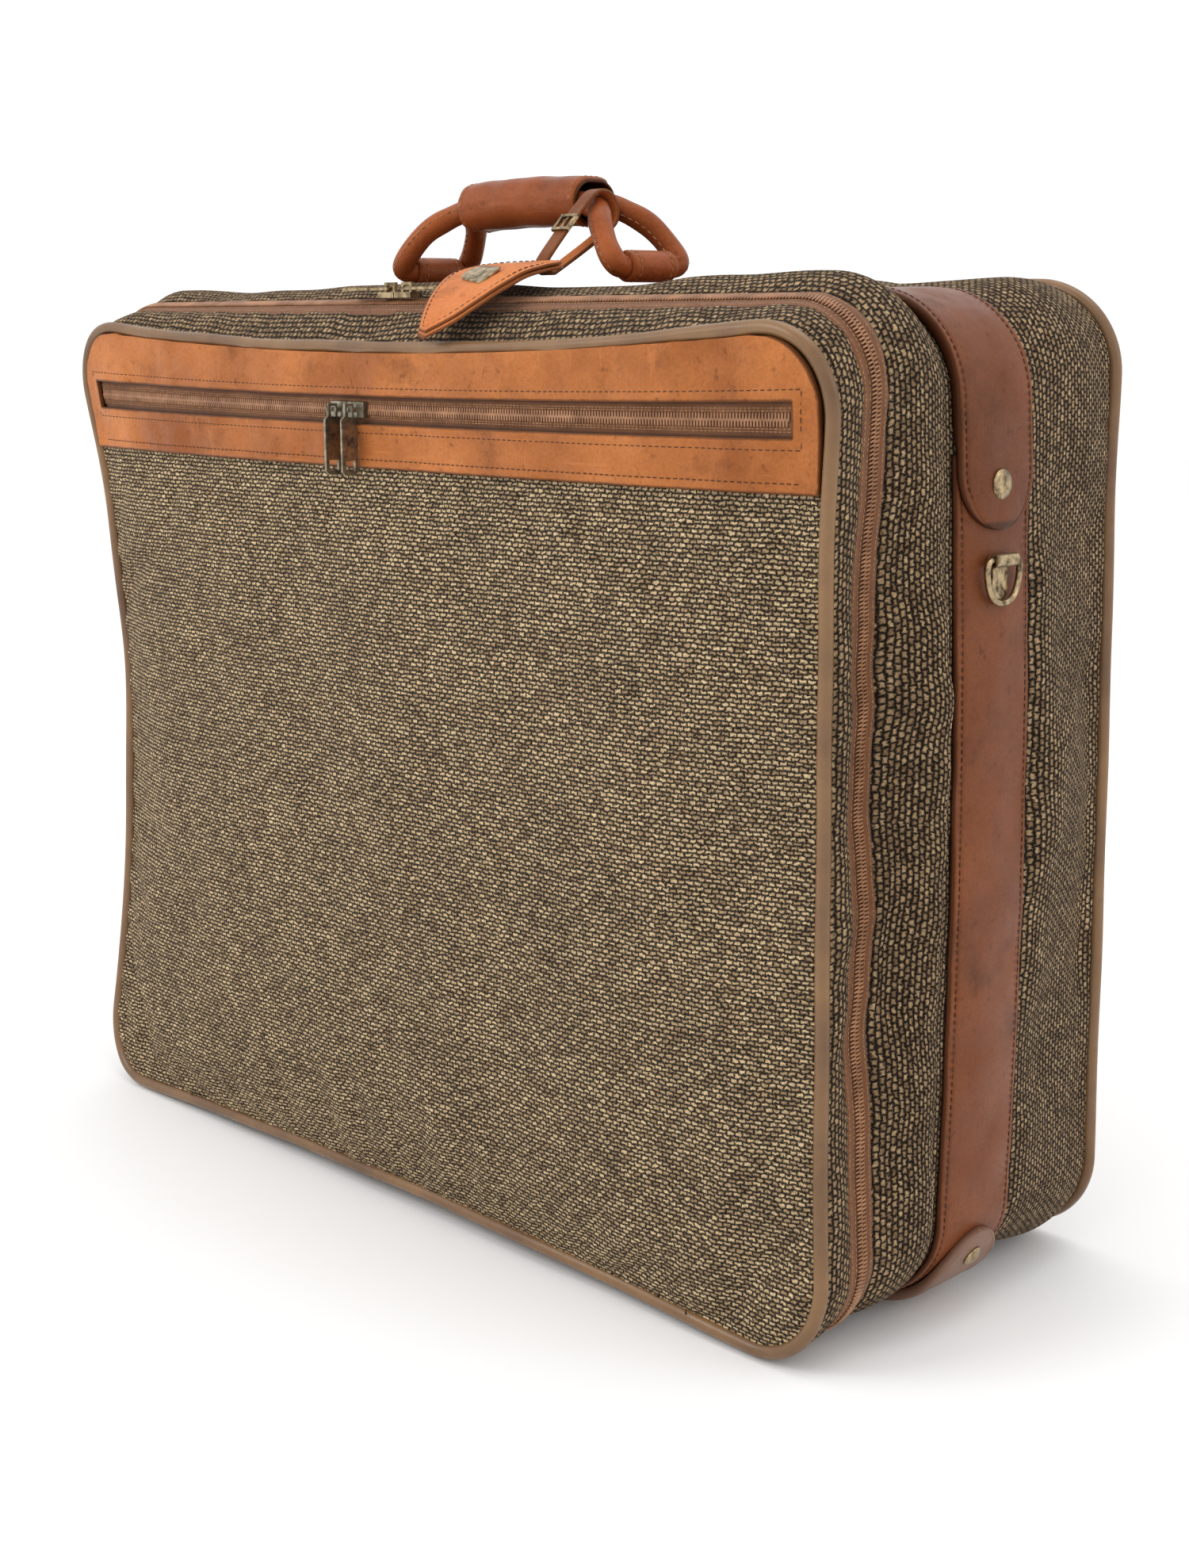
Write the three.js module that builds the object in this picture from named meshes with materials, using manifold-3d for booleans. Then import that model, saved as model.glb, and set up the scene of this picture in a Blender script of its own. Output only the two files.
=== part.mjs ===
// A softside upright suitcase: a deep fabric body with a zipped lid on its front, leather straps, a rolled
// leather handle and brass fittings. Millimetres; +X right, +Y to the back, +Z up; the floor is Z = 0.
import * as THREE from 'three';
import { mergeVertices } from 'three/addons/utils/BufferGeometryUtils.js';
import Module from 'manifold-3d';

const manifold = await Module();
manifold.setup();

// ---------------------------------------------------------------- driving dimensions
const WIDTH = 640;
const LID_TOP = 505;
const LID_BOTTOM = 3.6;
const BODY_TOP = 523;
const BODY_BOTTOM = 12;
const CORNER = 46;
const GAP = 0.4;
const LAYER_GAP = 1.2;

const FRONT_Y = -109;
const BACK_Y = 117;
const ZIP_Y = -78;
const PIPING_RADIUS = 3.6;
const CLOTH = 3;

const SIDE_BOW = 18;
const SIDE_RECESS = 18;
const TOP_BOW = 14;
const BOTTOM_BOW = 8;
const SIDE_BULGE = 9;

const STRAP_Y = 4;
const STRAP_WIDTH = 60;
const STRAP_THICK = 2.4;
const STRAP_END_Z = 406;
const RIVET_Z = 428;
const RIVET_RADIUS = 7;
const RING_Z = 391.4;
const SKID_WIDTH = 46;
const SKID_TOP_Z = 48;
const SKID_REACH_X = 246;

const BAND_LOW_Z = 427;
const BAND_THICK = 2.4;
const SLOT_HALF = 297;
const SLOT_LOW_Z = 453;
const SLOT_HIGH_Z = 470;
const POCKET_MEET_X = -26;
const MAIN_MEET_X = -24;

const HANDLE_HALF = 90;
const HANDLE_Y = STRAP_Y;
const HANDLE_AXIS_Z = 535.6;
const ROLL_RADIUS = 6.5;
const GRIP_HALF = 50;
const GRIP_Z = 572;
const SLEEVE_RADIUS = 8.5;
const SLEEVE_LENGTH = 34;

const MID_Z = (LID_TOP + LID_BOTTOM) / 2;
const HALF_HEIGHT = (LID_TOP - LID_BOTTOM) / 2;
const HALF_WIDTH = WIDTH / 2 - PIPING_RADIUS;

// ---------------------------------------------------------------- small helpers
const clamp = (value, low, high) => Math.min(high, Math.max(low, value));
const mix = (a, b, t) => a + (b - a) * t;

function smooth(low, high, value) {
  const t = clamp((value - low) / (high - low), 0, 1);
  return t * t * (3 - 2 * t);
}

// Straight-line interpolation through [position, value] pairs.
function profileAt(pairs, position) {
  for (let i = 1; i < pairs.length; i += 1) {
    const [p0, v0] = pairs[i - 1];
    const [p1, v1] = pairs[i];
    if (position <= p1) return mix(v0, v1, clamp((position - p0) / (p1 - p0), 0, 1));
  }
  return pairs[pairs.length - 1][1];
}

// Heights of the case's top and bottom at each depth: the lid hangs lower than the body, and the strap
// presses a shallow trough into the top.
const TOP_PROFILE = [[FRONT_Y, LID_TOP], [ZIP_Y, 517], [-52, BODY_TOP], [-26, 515], [34, 515], [64, BODY_TOP + 1],
  [BACK_Y, BODY_TOP]];
const BOTTOM_PROFILE = [[FRONT_Y, LID_BOTTOM], [ZIP_Y, 6], [-52, BODY_BOTTOM], [64, BODY_BOTTOM], [BACK_Y, 8]];
const topAt = (y) => profileAt(TOP_PROFILE, y);
const bottomAt = (y) => profileAt(BOTTOM_PROFILE, y);

// Stations along one quarter of the case's loop: straight up the side, round the corner, along the top.
const SIDE_STEPS = 3;
const ARC_STEPS = 5;
const EDGE_STEPS = 4;
const QUARTER_STEPS = SIDE_STEPS + ARC_STEPS + EDGE_STEPS;
const LOOP_STEPS = 4 * QUARTER_STEPS;

// Point on the case's rounded-rectangle loop at depth y for station 0..LOOP_STEPS, counter-clockwise from +X
// seen from the front; inset moves the point in towards the middle of the case.
function loopPoint(station, y, inset) {
  const halfWidth = HALF_WIDTH - inset;
  const top = topAt(y) - inset;
  const bottom = bottomAt(y) + inset;
  const radius = CORNER - inset;
  const middle = (top + bottom) / 2;
  const flatX = halfWidth - radius;
  const flatZ = (top - bottom) / 2 - radius;
  const around = ((station % LOOP_STEPS) + LOOP_STEPS) % LOOP_STEPS;
  const quadrant = Math.floor(around / QUARTER_STEPS);
  const part = around - quadrant * QUARTER_STEPS;
  const step = quadrant % 2 === 0 ? part : QUARTER_STEPS - part;
  const signX = quadrant === 0 || quadrant === 3 ? 1 : -1;
  const signZ = quadrant < 2 ? 1 : -1;
  if (step <= SIDE_STEPS) return [signX * halfWidth, middle + (signZ * flatZ * step) / SIDE_STEPS];
  const angle = (clamp((step - SIDE_STEPS) / ARC_STEPS, 0, 1) * Math.PI) / 2;
  const left = clamp((QUARTER_STEPS - step) / EDGE_STEPS, 0, 1);
  return [signX * (flatX * left + radius * Math.cos(angle)), middle + signZ * (flatZ + radius * Math.sin(angle))];
}

// The slump of the soft case: the sides of the lid bow in and back, its top dips, the body's sides bulge.
function slump(point) {
  const u = clamp(point.x / (HALF_WIDTH - 14), -1, 1);
  const w = clamp((point.z - MID_Z) / HALF_HEIGHT, -1, 1);
  const front = smooth(STRAP_Y - STRAP_WIDTH / 2, ZIP_Y, point.y);
  const lidEdge = smooth(ZIP_Y, FRONT_Y, point.y);
  const edgeX = Math.abs(u) ** 4;
  const edgeZ = Math.abs(w) ** 8;
  const midHeight = 1 - w * w;
  const midWidth = 1 - u * u;
  const offStrap = point.y - STRAP_Y;
  const bulge = Math.abs(offStrap) < 100 ? Math.cos((offStrap * Math.PI) / 200) ** 2 : 0;
  const x = point.x - Math.sign(u) * edgeX * midHeight * (SIDE_BOW * front - SIDE_BULGE * bulge);
  const y = point.y + front * SIDE_RECESS * edgeX * midHeight;
  const dip = w > 0 ? -TOP_BOW : BOTTOM_BOW;
  return point.set(x, y, point.z + lidEdge * dip * edgeZ * midWidth);
}

function mapPoints(geometry, move) {
  const position = geometry.attributes.position;
  const point = new THREE.Vector3();
  for (let i = 0; i < position.count; i += 1) {
    move(point.fromBufferAttribute(position, i));
    position.setXYZ(i, point.x, point.y, point.z);
  }
  return geometry;
}

const soften = (geometry) => mapPoints(geometry, slump);

// Signed volume of a triangle mesh, to tell which way its faces point.
function signedVolume(geometry) {
  const [a, b, c] = [new THREE.Vector3(), new THREE.Vector3(), new THREE.Vector3()];
  const { position } = geometry.attributes;
  const index = geometry.index.array;
  let total = 0;
  for (let i = 0; i < index.length; i += 3) {
    a.fromBufferAttribute(position, index[i]);
    b.fromBufferAttribute(position, index[i + 1]);
    c.fromBufferAttribute(position, index[i + 2]);
    total += a.dot(b.cross(c));
  }
  return total;
}

function welded(geometry) {
  const bare = geometry.clone();
  for (const key of ['normal', 'uv']) bare.deleteAttribute(key);
  const merged = mergeVertices(bare, 1e-3);
  const kept = [];
  const index = merged.index.array;
  for (let i = 0; i < index.length; i += 3) {
    const [a, b, c] = [index[i], index[i + 1], index[i + 2]];
    if (a !== b && b !== c && a !== c) kept.push(a, b, c);
  }
  merged.setIndex(kept);
  if (signedVolume(merged) < 0) {
    for (let i = 0; i < kept.length; i += 3) [kept[i], kept[i + 1]] = [kept[i + 1], kept[i]];
    merged.setIndex(kept);
  }
  return merged;
}

function toSolid(geometry) {
  const clean = welded(geometry);
  return new manifold.Manifold(new manifold.Mesh({
    numProp: 3,
    vertProperties: new Float32Array(clean.attributes.position.array),
    triVerts: new Uint32Array(clean.index.array),
  }));
}

function fromSolid(solid) {
  const mesh = solid.getMesh();
  const geometry = new THREE.BufferGeometry();
  geometry.setAttribute('position', new THREE.BufferAttribute(new Float32Array(mesh.vertProperties), 3));
  geometry.setIndex([...mesh.triVerts]);
  return geometry;
}

const cut = (geometry, ...tools) => fromSolid(tools.reduce((s, t) => s.subtract(toSolid(t)), toSolid(geometry)));
const join = (...pieces) => fromSolid(pieces.map(toSolid).reduce((a, b) => a.add(b)));

const slab = (x, y, z, sx, sy, sz) => new THREE.BoxGeometry(sx, sy, sz).translate(x, y, z);
const rodAlongX = (r, length, sides = 16) => new THREE.CylinderGeometry(r, r, length, sides).rotateZ(Math.PI / 2);
const rodAlongY = (r, length, sides = 16) => new THREE.CylinderGeometry(r, r, length, sides);

// Stands an extrusion drawn in X and Z up, so that its depth runs from yBack towards the front.
const standing = (geometry, yBack) => geometry.rotateX(Math.PI / 2).translate(0, yBack, 0);

// Turns an extrusion drawn in Y and Z so that its depth runs along +X from xStart.
const sideways = (geometry, xStart) => geometry.rotateZ(Math.PI / 2).rotateY(Math.PI / 2).translate(xStart, 0, 0);

// ---------------------------------------------------------------- materials
const CLOTH_COLOUR = 0x7d7055;
const LEATHER_COLOUR = 0xb26a3a;
const STRAP_COLOUR = 0x8f5a42;
const PIPING_COLOUR = 0x83643c;
const TAPE_COLOUR = 0x8a5b38;
const BRASS_COLOUR = 0x857550;
const PEWTER_COLOUR = 0x7c776c;
const SKID_COLOUR = 0x82624e;
const HOOP_COLOUR = 0x3b3530;
const BOARD_COLOUR = 0x6a5238;
const LINING_COLOUR = 0xb9a98a;

function paint(color, roughness, metalness = 0) {
  return new THREE.MeshStandardMaterial({ color, roughness, metalness });
}

const suitcase = new THREE.Group();

function add(name, geometry, color, roughness = 0.8, metalness = 0) {
  const mesh = new THREE.Mesh(welded(geometry), paint(color, roughness, metalness));
  mesh.name = name;
  suitcase.add(mesh);
  return mesh;
}

// ---------------------------------------------------------------- loops round the case
// A closed ring round the case whose section is a closed list of [y, inset] points.
function ring(section) {
  const geometry = new THREE.TorusGeometry(1, 0.4, section.length, LOOP_STEPS);
  const { position } = geometry.attributes;
  const columns = LOOP_STEPS + 1;
  for (let i = 0; i < position.count; i += 1) {
    const [y, inset] = section[Math.floor(i / columns) % section.length];
    const [x, z] = loopPoint(i % columns, y, inset);
    position.setXYZ(i, x, y, z);
  }
  return soften(geometry);
}

// A ring of sheet material between two depths: outer face at inset, inner face one thickness further in.
function sheetRing(depths, inset, thick) {
  const outer = depths.map((y) => [y, inset]);
  const inner = [...depths].reverse().map((y) => [y, inset + thick]);
  return ring([...outer, ...inner]);
}

function roundSection(y, inset, radius, sides = 6) {
  return Array.from({ length: sides }, (_, i) => {
    const angle = (i * 2 * Math.PI) / sides;
    return [y + radius * Math.cos(angle), inset - radius * Math.sin(angle)];
  });
}

// A slab on a grid: at(column, row, side) gives the corner [x, y, z] of its front (0) and back (1) face. Both
// faces are split along the same diagonals, so that neighbouring layers stay parallel.
function gridSlab(columns, rows, at) {
  const points = [];
  const index = [];
  const wide = columns + 1;
  const sheet = wide * (rows + 1);
  for (const side of [0, 1]) {
    for (let row = 0; row <= rows; row += 1) {
      for (let column = 0; column <= columns; column += 1) points.push(...at(column, row, side));
    }
  }
  const quad = (a, b, c, d) => index.push(a, b, c, a, c, d);
  const corner = (column, row, side) => side * sheet + row * wide + column;
  for (let row = 0; row < rows; row += 1) {
    for (let column = 0; column < columns; column += 1) {
      const [a, b, c, d] = [[0, 0], [1, 0], [1, 1], [0, 1]].map(([i, j]) => corner(column + i, row + j, 0));
      quad(a, b, c, d);
      index.push(a + sheet, c + sheet, b + sheet, a + sheet, d + sheet, c + sheet);
    }
    quad(corner(0, row + 1, 0), corner(0, row + 1, 1), corner(0, row, 1), corner(0, row, 0));
    quad(corner(columns, row, 0), corner(columns, row, 1), corner(columns, row + 1, 1), corner(columns, row + 1, 0));
  }
  for (let column = 0; column < columns; column += 1) {
    quad(corner(column, 0, 0), corner(column, 0, 1), corner(column + 1, 0, 1), corner(column + 1, 0, 0));
    quad(corner(column + 1, rows, 0), corner(column + 1, rows, 1), corner(column, rows, 1), corner(column, rows, 0));
  }
  const geometry = new THREE.BufferGeometry();
  geometry.setAttribute('position', new THREE.Float32BufferAttribute(points, 3));
  geometry.setIndex(index);
  return geometry;
}

// A panel that fills the loop, from y0 to y1 in depth, on a grid whose stations match the ring's. With
// lowZ it covers only the part above that height.
function panel(y0, y1, inset, lowZ = null) {
  const top = topAt(y0) - inset;
  const bottom = bottomAt(y0) + inset;
  const radius = CORNER - inset;
  const middle = (top + bottom) / 2;
  const flatZ = (top - bottom) / 2 - radius;
  const arcHeights = Array.from({ length: ARC_STEPS }, (_, i) =>
    flatZ + radius * Math.sin(((i + 1) / ARC_STEPS) * (Math.PI / 2)));
  const straight = Array.from({ length: 2 * SIDE_STEPS + 1 }, (_, i) => flatZ * (i / SIDE_STEPS - 1));
  const whole = [...arcHeights.map((h) => -h).reverse(), ...straight, ...arcHeights].map((h) => middle + h);
  const heights = [...whole, BAND_LOW_Z].sort((a, b) => a - b).filter((z) => z >= (lowZ ?? 0));
  return soften(gridSlab(2 * EDGE_STEPS, heights.length - 1, (column, row, side) => {
    const z = heights[row];
    const past = Math.min(Math.max(0, Math.abs(z - middle) - flatZ), radius);
    const half = HALF_WIDTH - inset - radius + Math.sqrt(radius * radius - past * past);
    return [(column / EDGE_STEPS - 1) * half, side === 0 ? y0 : y1, z];
  }));
}

// A flat rounded-rectangle board between two depths, for the stiff back of the case.
function board(y0, y1, inset) {
  const outline = new THREE.Shape();
  for (let i = 0; i < LOOP_STEPS; i += 1) {
    const [x, z] = loopPoint(i, y1, inset);
    if (i === 0) outline.moveTo(x, z);
    else if (i % QUARTER_STEPS !== 0) outline.lineTo(x, z);
  }
  outline.closePath();
  return standing(new THREE.ExtrudeGeometry(outline, { depth: y1 - y0, bevelEnabled: false }), y1);
}

// ---------------------------------------------------------------- the body of the case
const BODY_DEPTHS = [-52, STRAP_Y - STRAP_WIDTH / 2, STRAP_Y, STRAP_Y + STRAP_WIDTH / 2, 64, 100];

const HOOP_DEPTHS = BODY_DEPTHS.slice(1);
const HOOP_THICK = 2;
const LINING_THICK = 1.6;
const TIE_X = 150;
const TIE_Z = 300;

function buildBody() {
  add('body_gusset', sheetRing([ZIP_Y + 9 + GAP, ...BODY_DEPTHS, BACK_Y - PIPING_RADIUS - GAP], 0, CLOTH),
    CLOTH_COLOUR, 0.95);
  add('rear_piping', ring(roundSection(BACK_Y, 0, PIPING_RADIUS)), PIPING_COLOUR, 0.5);
  add('rear_panel', board(BACK_Y - 3, BACK_Y, PIPING_RADIUS + GAP), CLOTH_COLOUR, 0.95);
  add('rear_board', board(BACK_Y - 7, BACK_Y - 3 - GAP, CLOTH + 6), BOARD_COLOUR, 0.9);
  add('frame_hoop', sheetRing(HOOP_DEPTHS, CLOTH + LAYER_GAP, HOOP_THICK), HOOP_COLOUR, 0.6);
  add('body_lining', sheetRing(HOOP_DEPTHS, CLOTH + HOOP_THICK + 2 * LAYER_GAP, LINING_THICK), LINING_COLOUR, 0.9);
  add('back_lining', board(BACK_Y - 9, BACK_Y - 7 - GAP, CLOTH + 10), LINING_COLOUR, 0.9);
  const tieY = BACK_Y - 9 - GAP - 1;
  add('tie_strap_left', slab(-TIE_X, tieY, TIE_Z, 250, 1.6, 25), LEATHER_COLOUR, 0.7);
  add('tie_strap_right', slab(TIE_X, tieY, TIE_Z, 250, 1.6, 25), LEATHER_COLOUR, 0.7);
  const buckle = slab(0, tieY - 1, TIE_Z, 48, 3, 36);
  add('tie_buckle', cut(buckle, slab(0, tieY, TIE_Z, 12, 12, 26)), BRASS_COLOUR, 0.35, 1);
}

// ---------------------------------------------------------------- the main zip
const HINGE_HALF = 262;
const COIL = 2.6;
const TAPE = 9;

// The stretch along the bottom edge, on one side of the zip line, where the cloth hinges and there is no zip.
const hingeStretch = (side, half) => slab(0, ZIP_Y + 20 * side, 0, 2 * half, 40.4, 60);

// One half of the zip: a tape with its coil, as a ring left open along the bottom.
function zipHalf(side) {
  const at = (distance) => ZIP_Y + side * distance;
  const section = [[at(GAP), -1.6], [at(COIL), -1.6], [at(COIL), 0.4], [at(TAPE), 0.4], [at(TAPE), 1.6],
    [at(GAP), 1.6]];
  return cut(ring(section), hingeStretch(side, HINGE_HALF));
}

// One half of the cloth web that hinges the lid, between the two ends of the zip.
function webHalf(side) {
  const at = (distance) => ZIP_Y + side * distance;
  const strip = ring([[at(GAP), 0.4], [at(TAPE), 0.4], [at(TAPE), 1.8], [at(GAP), 1.8]]);
  return fromSolid(toSolid(strip).intersect(toSolid(hingeStretch(side, HINGE_HALF - 1))));
}

function buildMainZip() {
  add('main_zip_body', zipHalf(1), TAPE_COLOUR, 0.7);
  add('main_zip_lid', zipHalf(-1), TAPE_COLOUR, 0.7);
  add('hinge_web', webHalf(1), CLOTH_COLOUR, 0.95);
  add('lid_web', webHalf(-1), CLOTH_COLOUR, 0.95);
}

// ---------------------------------------------------------------- the lid
const PANEL_FRONT = FRONT_Y - 1;
const BAND_BACK = PANEL_FRONT - 0.8;
const BAND_FRONT = BAND_BACK - BAND_THICK;
const POCKET_ZIP_THICK = 1.2;
const SLOT_MID_Z = (SLOT_LOW_Z + SLOT_HIGH_Z) / 2;

function slotBlock(half, height) {
  const columns = 2 * EDGE_STEPS;
  return soften(new THREE.BoxGeometry(2 * half, 60, height, columns, 1, 1).translate(0, FRONT_Y, SLOT_MID_Z));
}

function buildLid() {
  const lidBack = ZIP_Y - TAPE - GAP;
  const edge = PIPING_RADIUS + 0.6;
  add('lid_piping', ring(roundSection(FRONT_Y, 0, PIPING_RADIUS)), PIPING_COLOUR, 0.5);
  add('lid_gusset', sheetRing([FRONT_Y + PIPING_RADIUS + GAP, (FRONT_Y + lidBack) / 2, lidBack], 0.2, CLOTH - 0.6),
    CLOTH_COLOUR, 0.95);
  add('lid_panel', panel(PANEL_FRONT, PANEL_FRONT + 3, edge), CLOTH_COLOUR, 0.95);
  const slotHeight = SLOT_HIGH_Z - SLOT_LOW_Z;
  const band = panel(BAND_FRONT, BAND_BACK, edge, BAND_LOW_Z);
  add('pocket_band', cut(band, slotBlock(SLOT_HALF, slotHeight)), LEATHER_COLOUR, 0.5);
  const tape = panel(BAND_BACK - POCKET_ZIP_THICK, BAND_BACK, edge, BAND_LOW_Z);
  const window = slotBlock(SLOT_HALF - GAP, slotHeight - 2 * GAP);
  add('pocket_zip', fromSolid(toSolid(tape).intersect(toSolid(window))), TAPE_COLOUR, 0.7);
  const boardInset = CLOTH + 1.6;
  add('lid_board', panel(PANEL_FRONT + 8, PANEL_FRONT + 10, boardInset), BOARD_COLOUR, 0.9);
  add('lid_lining', panel(PANEL_FRONT + 11, PANEL_FRONT + 12.4, boardInset), LINING_COLOUR, 0.9);
}

// ---------------------------------------------------------------- zip sliders and their pulls
const SLIDER_HALF = 7;
const SLIDER_BODY = 3;
const SLIDER_WIDTH = 8.5;
const ARCH_GAP = 4;
const ARCH_BAR = 1.6;
const ARCH_WIDTH = 2.4;
const LEG_X = 3.6;
const LEG_THICK = 1.8;

// A slider that runs along X with its arch standing on +Z; the arch is a bar on two legs.
function sliderGeometry() {
  const body = slab(0, 0, SLIDER_BODY / 2, 2 * SLIDER_HALF, SLIDER_WIDTH, SLIDER_BODY);
  const overlap = 0.3;
  const legHeight = ARCH_GAP + 2 * overlap;
  const legs = [-1, 1].map((s) =>
    slab(s * LEG_X, 0, SLIDER_BODY + ARCH_GAP / 2, LEG_THICK, ARCH_WIDTH, legHeight));
  const barLength = 2 * LEG_X + LEG_THICK;
  const bar = slab(0, 0, SLIDER_BODY + ARCH_GAP + ARCH_BAR / 2, barLength, ARCH_WIDTH, ARCH_BAR);
  return join(body, ...legs, bar);
}

function shapeFrom(points, Kind = THREE.Shape) {
  return new Kind(points.map(([x, y]) => new THREE.Vector2(x, y)));
}

const oblong = (x0, x1, half) => [[x0, -half], [x1, -half], [x1, half], [x0, half]];

// A flat pull lying along +X from the hinge axis: a narrow eye, then the plate with a cut corner outline.
function pullGeometry({ eyeStart, eyeEnd, eyeHalf, eyeWall, length, width }) {
  const half = width / 2;
  const neck = eyeHalf + eyeWall;
  const plate = eyeEnd + eyeWall;
  const start = eyeStart - eyeWall;
  const outline = shapeFrom([[start, -neck], [plate - 2, -neck], [plate, -half], [length - 2, -half],
    [length, -half + 2], [length, half - 2], [length - 2, half], [plate, half], [plate - 2, neck], [start, neck]]);
  const rim = 2.2;
  outline.holes.push(shapeFrom(oblong(eyeStart, eyeEnd, eyeHalf), THREE.Path));
  outline.holes.push(shapeFrom(oblong(length - 8, length - rim, half - rim), THREE.Path));
  return new THREE.ExtrudeGeometry(outline, { depth: 1.6, bevelEnabled: false }).translate(0, 0, -0.8);
}

function buildSliders() {
  const mainZ = topAt(ZIP_Y + COIL) + 1.6 + GAP;
  const crossbarUp = SLIDER_BODY + ARCH_GAP / 2;
  const barUp = SLIDER_BODY + ARCH_GAP + ARCH_BAR / 2;
  for (const [side, label] of [[-1, 'left'], [1, 'right']]) {
    const x = MAIN_MEET_X + side * (SLIDER_HALF + 0.4);
    const slider = add(`main_slider_${label}`, sliderGeometry(), BRASS_COLOUR, 0.35, 1);
    slider.position.set(x, ZIP_Y, mainZ);
    const flat = pullGeometry({ eyeStart: 1.1, eyeEnd: 7.2, eyeHalf: 1.8, eyeWall: 2.2, length: 38, width: 13 });
    const pull = add(`main_pull_${label}`, flat, BRASS_COLOUR, 0.35, 1);
    pull.rotation.set(0, 0, side < 0 ? Math.PI : 0);
    pull.position.set(x, ZIP_Y, mainZ + crossbarUp);
  }
  const pocketY = BAND_BACK - POCKET_ZIP_THICK - GAP;
  const pocketZ = slump(new THREE.Vector3(POCKET_MEET_X, FRONT_Y, SLOT_MID_Z)).z;
  for (const [side, label] of [[-1, 'left'], [1, 'right']]) {
    const x = POCKET_MEET_X + side * (SLIDER_HALF + 0.4);
    const slider = add(`pocket_slider_${label}`, sliderGeometry(), PEWTER_COLOUR, 0.35, 1);
    slider.rotation.set(Math.PI / 2, 0, 0);
    slider.position.set(x, pocketY, pocketZ);
    const hanging = pullGeometry({ eyeStart: -1.9, eyeEnd: 4, eyeHalf: 1.7, eyeWall: 1.4, length: 36, width: 11 });
    const pull = add(`pocket_pull_${label}`, hanging.rotateX(Math.PI / 2).rotateY(Math.PI / 2).rotateZ(Math.PI / 2),
      PEWTER_COLOUR, 0.35, 1);
    pull.position.set(x, pocketY - barUp, pocketZ);
  }
}

// ---------------------------------------------------------------- straps, rivets, rings and skids
// A band over the case under the strap line, clear of the cloth by lift.
function strapRing(lift, thick) {
  const half = STRAP_WIDTH / 2;
  return sheetRing([STRAP_Y - half, STRAP_Y, STRAP_Y + half], -lift - thick, thick);
}

// A block right across the case under a height, with a round notch that leaves a round-ended tab.
function tabCutter(tipZ, radius) {
  const below = slab(0, STRAP_Y, tipZ + radius - 400, 1000, 200, 800);
  const disc = rodAlongX(radius, 1100, 24).translate(0, STRAP_Y, tipZ + radius);
  return cut(below, disc);
}

const LOWER_LIFT = 1;
const UPPER_LIFT = LOWER_LIFT + STRAP_THICK + 0.8;
const LOWER_STRAP_TOP_Z = 442;

// Outer face of the case's side at a height, on the strap's centre line, for a given lift off the cloth.
function sideX(z, lift) {
  return slump(new THREE.Vector3(HALF_WIDTH + lift, STRAP_Y, z)).x;
}

function rivetGeometry(radius, height) {
  const profile = [[0, 0], [radius, 0], [radius, height * 0.3], [radius * 0.8, height * 0.75],
    [radius * 0.45, height * 0.95], [0, height]].map(([r, h]) => new THREE.Vector2(r, h));
  return new THREE.LatheGeometry(profile, 16).rotateZ(-Math.PI / 2);
}

const onSide = (geometry, side, x, z) => (side < 0 ? geometry.scale(-1, 1, 1) : geometry).translate(side * x, 0, z);

const SKID_INSET = -LOWER_LIFT - STRAP_THICK - 0.8;
const SKID_WALL = 3.6;
const SKID_ARC_START = 3 * QUARTER_STEPS + EDGE_STEPS;

// Point on the skid's outer face at a station: it stands on the floor and thins up the side of the case.
function skidOuter(station) {
  const along = clamp((station - SKID_ARC_START) / ARC_STEPS, 0, 1);
  return loopPoint(station, STRAP_Y, mix(-BODY_BOTTOM, SKID_INSET - SKID_WALL, along));
}

// The rivet through the skid, on the middle of its second facet down the corner, square to that facet.
function skidRivet(side) {
  const [upper, lower] = [2, 3].map((step) => {
    const [x, z] = skidOuter(4 * QUARTER_STEPS - SIDE_STEPS - step + 1);
    return slump(new THREE.Vector3(x, STRAP_Y, z));
  });
  const facet = upper.clone().sub(lower);
  const tilt = Math.atan2(facet.x, facet.z);
  const middle = upper.clone().add(lower).multiplyScalar(0.5);
  const rivet = rivetGeometry(5.8, 2.2).translate(0.4, 0, 0).rotateY(tilt).translate(middle.x, middle.y, middle.z);
  return side < 0 ? rivet.scale(-1, 1, 1) : rivet;
}

// The moulded skid: it wraps the lower corner, thin up the side and thick underneath, with a round tab.
function skidGeometry() {
  const stations = Array.from({ length: 2 + ARC_STEPS + SIDE_STEPS + 1 }, (_, i) => SKID_ARC_START - 2 + i);
  const inner = stations.map((station) => loopPoint(station, STRAP_Y, SKID_INSET));
  const outline = shapeFrom([...inner, ...stations.map(skidOuter).reverse()]);
  const block = soften(standing(new THREE.ExtrudeGeometry(outline,
    { depth: SKID_WIDTH, steps: 2, bevelEnabled: false }), STRAP_Y + SKID_WIDTH / 2));
  const topCut = tabCutterAbove(SKID_TOP_Z, SKID_WIDTH / 2);
  return cut(block, topCut, slab(0, STRAP_Y, 0, 2 * SKID_REACH_X, 200, 100));
}

// A block above a height, with a round notch that leaves a round-topped tab.
function tabCutterAbove(tipZ, radius) {
  const above = slab(0, STRAP_Y, tipZ - radius + 400, 1000, 200, 800);
  const disc = rodAlongX(radius, 1100, 24).translate(0, STRAP_Y, tipZ - radius);
  return cut(above, disc);
}

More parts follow.
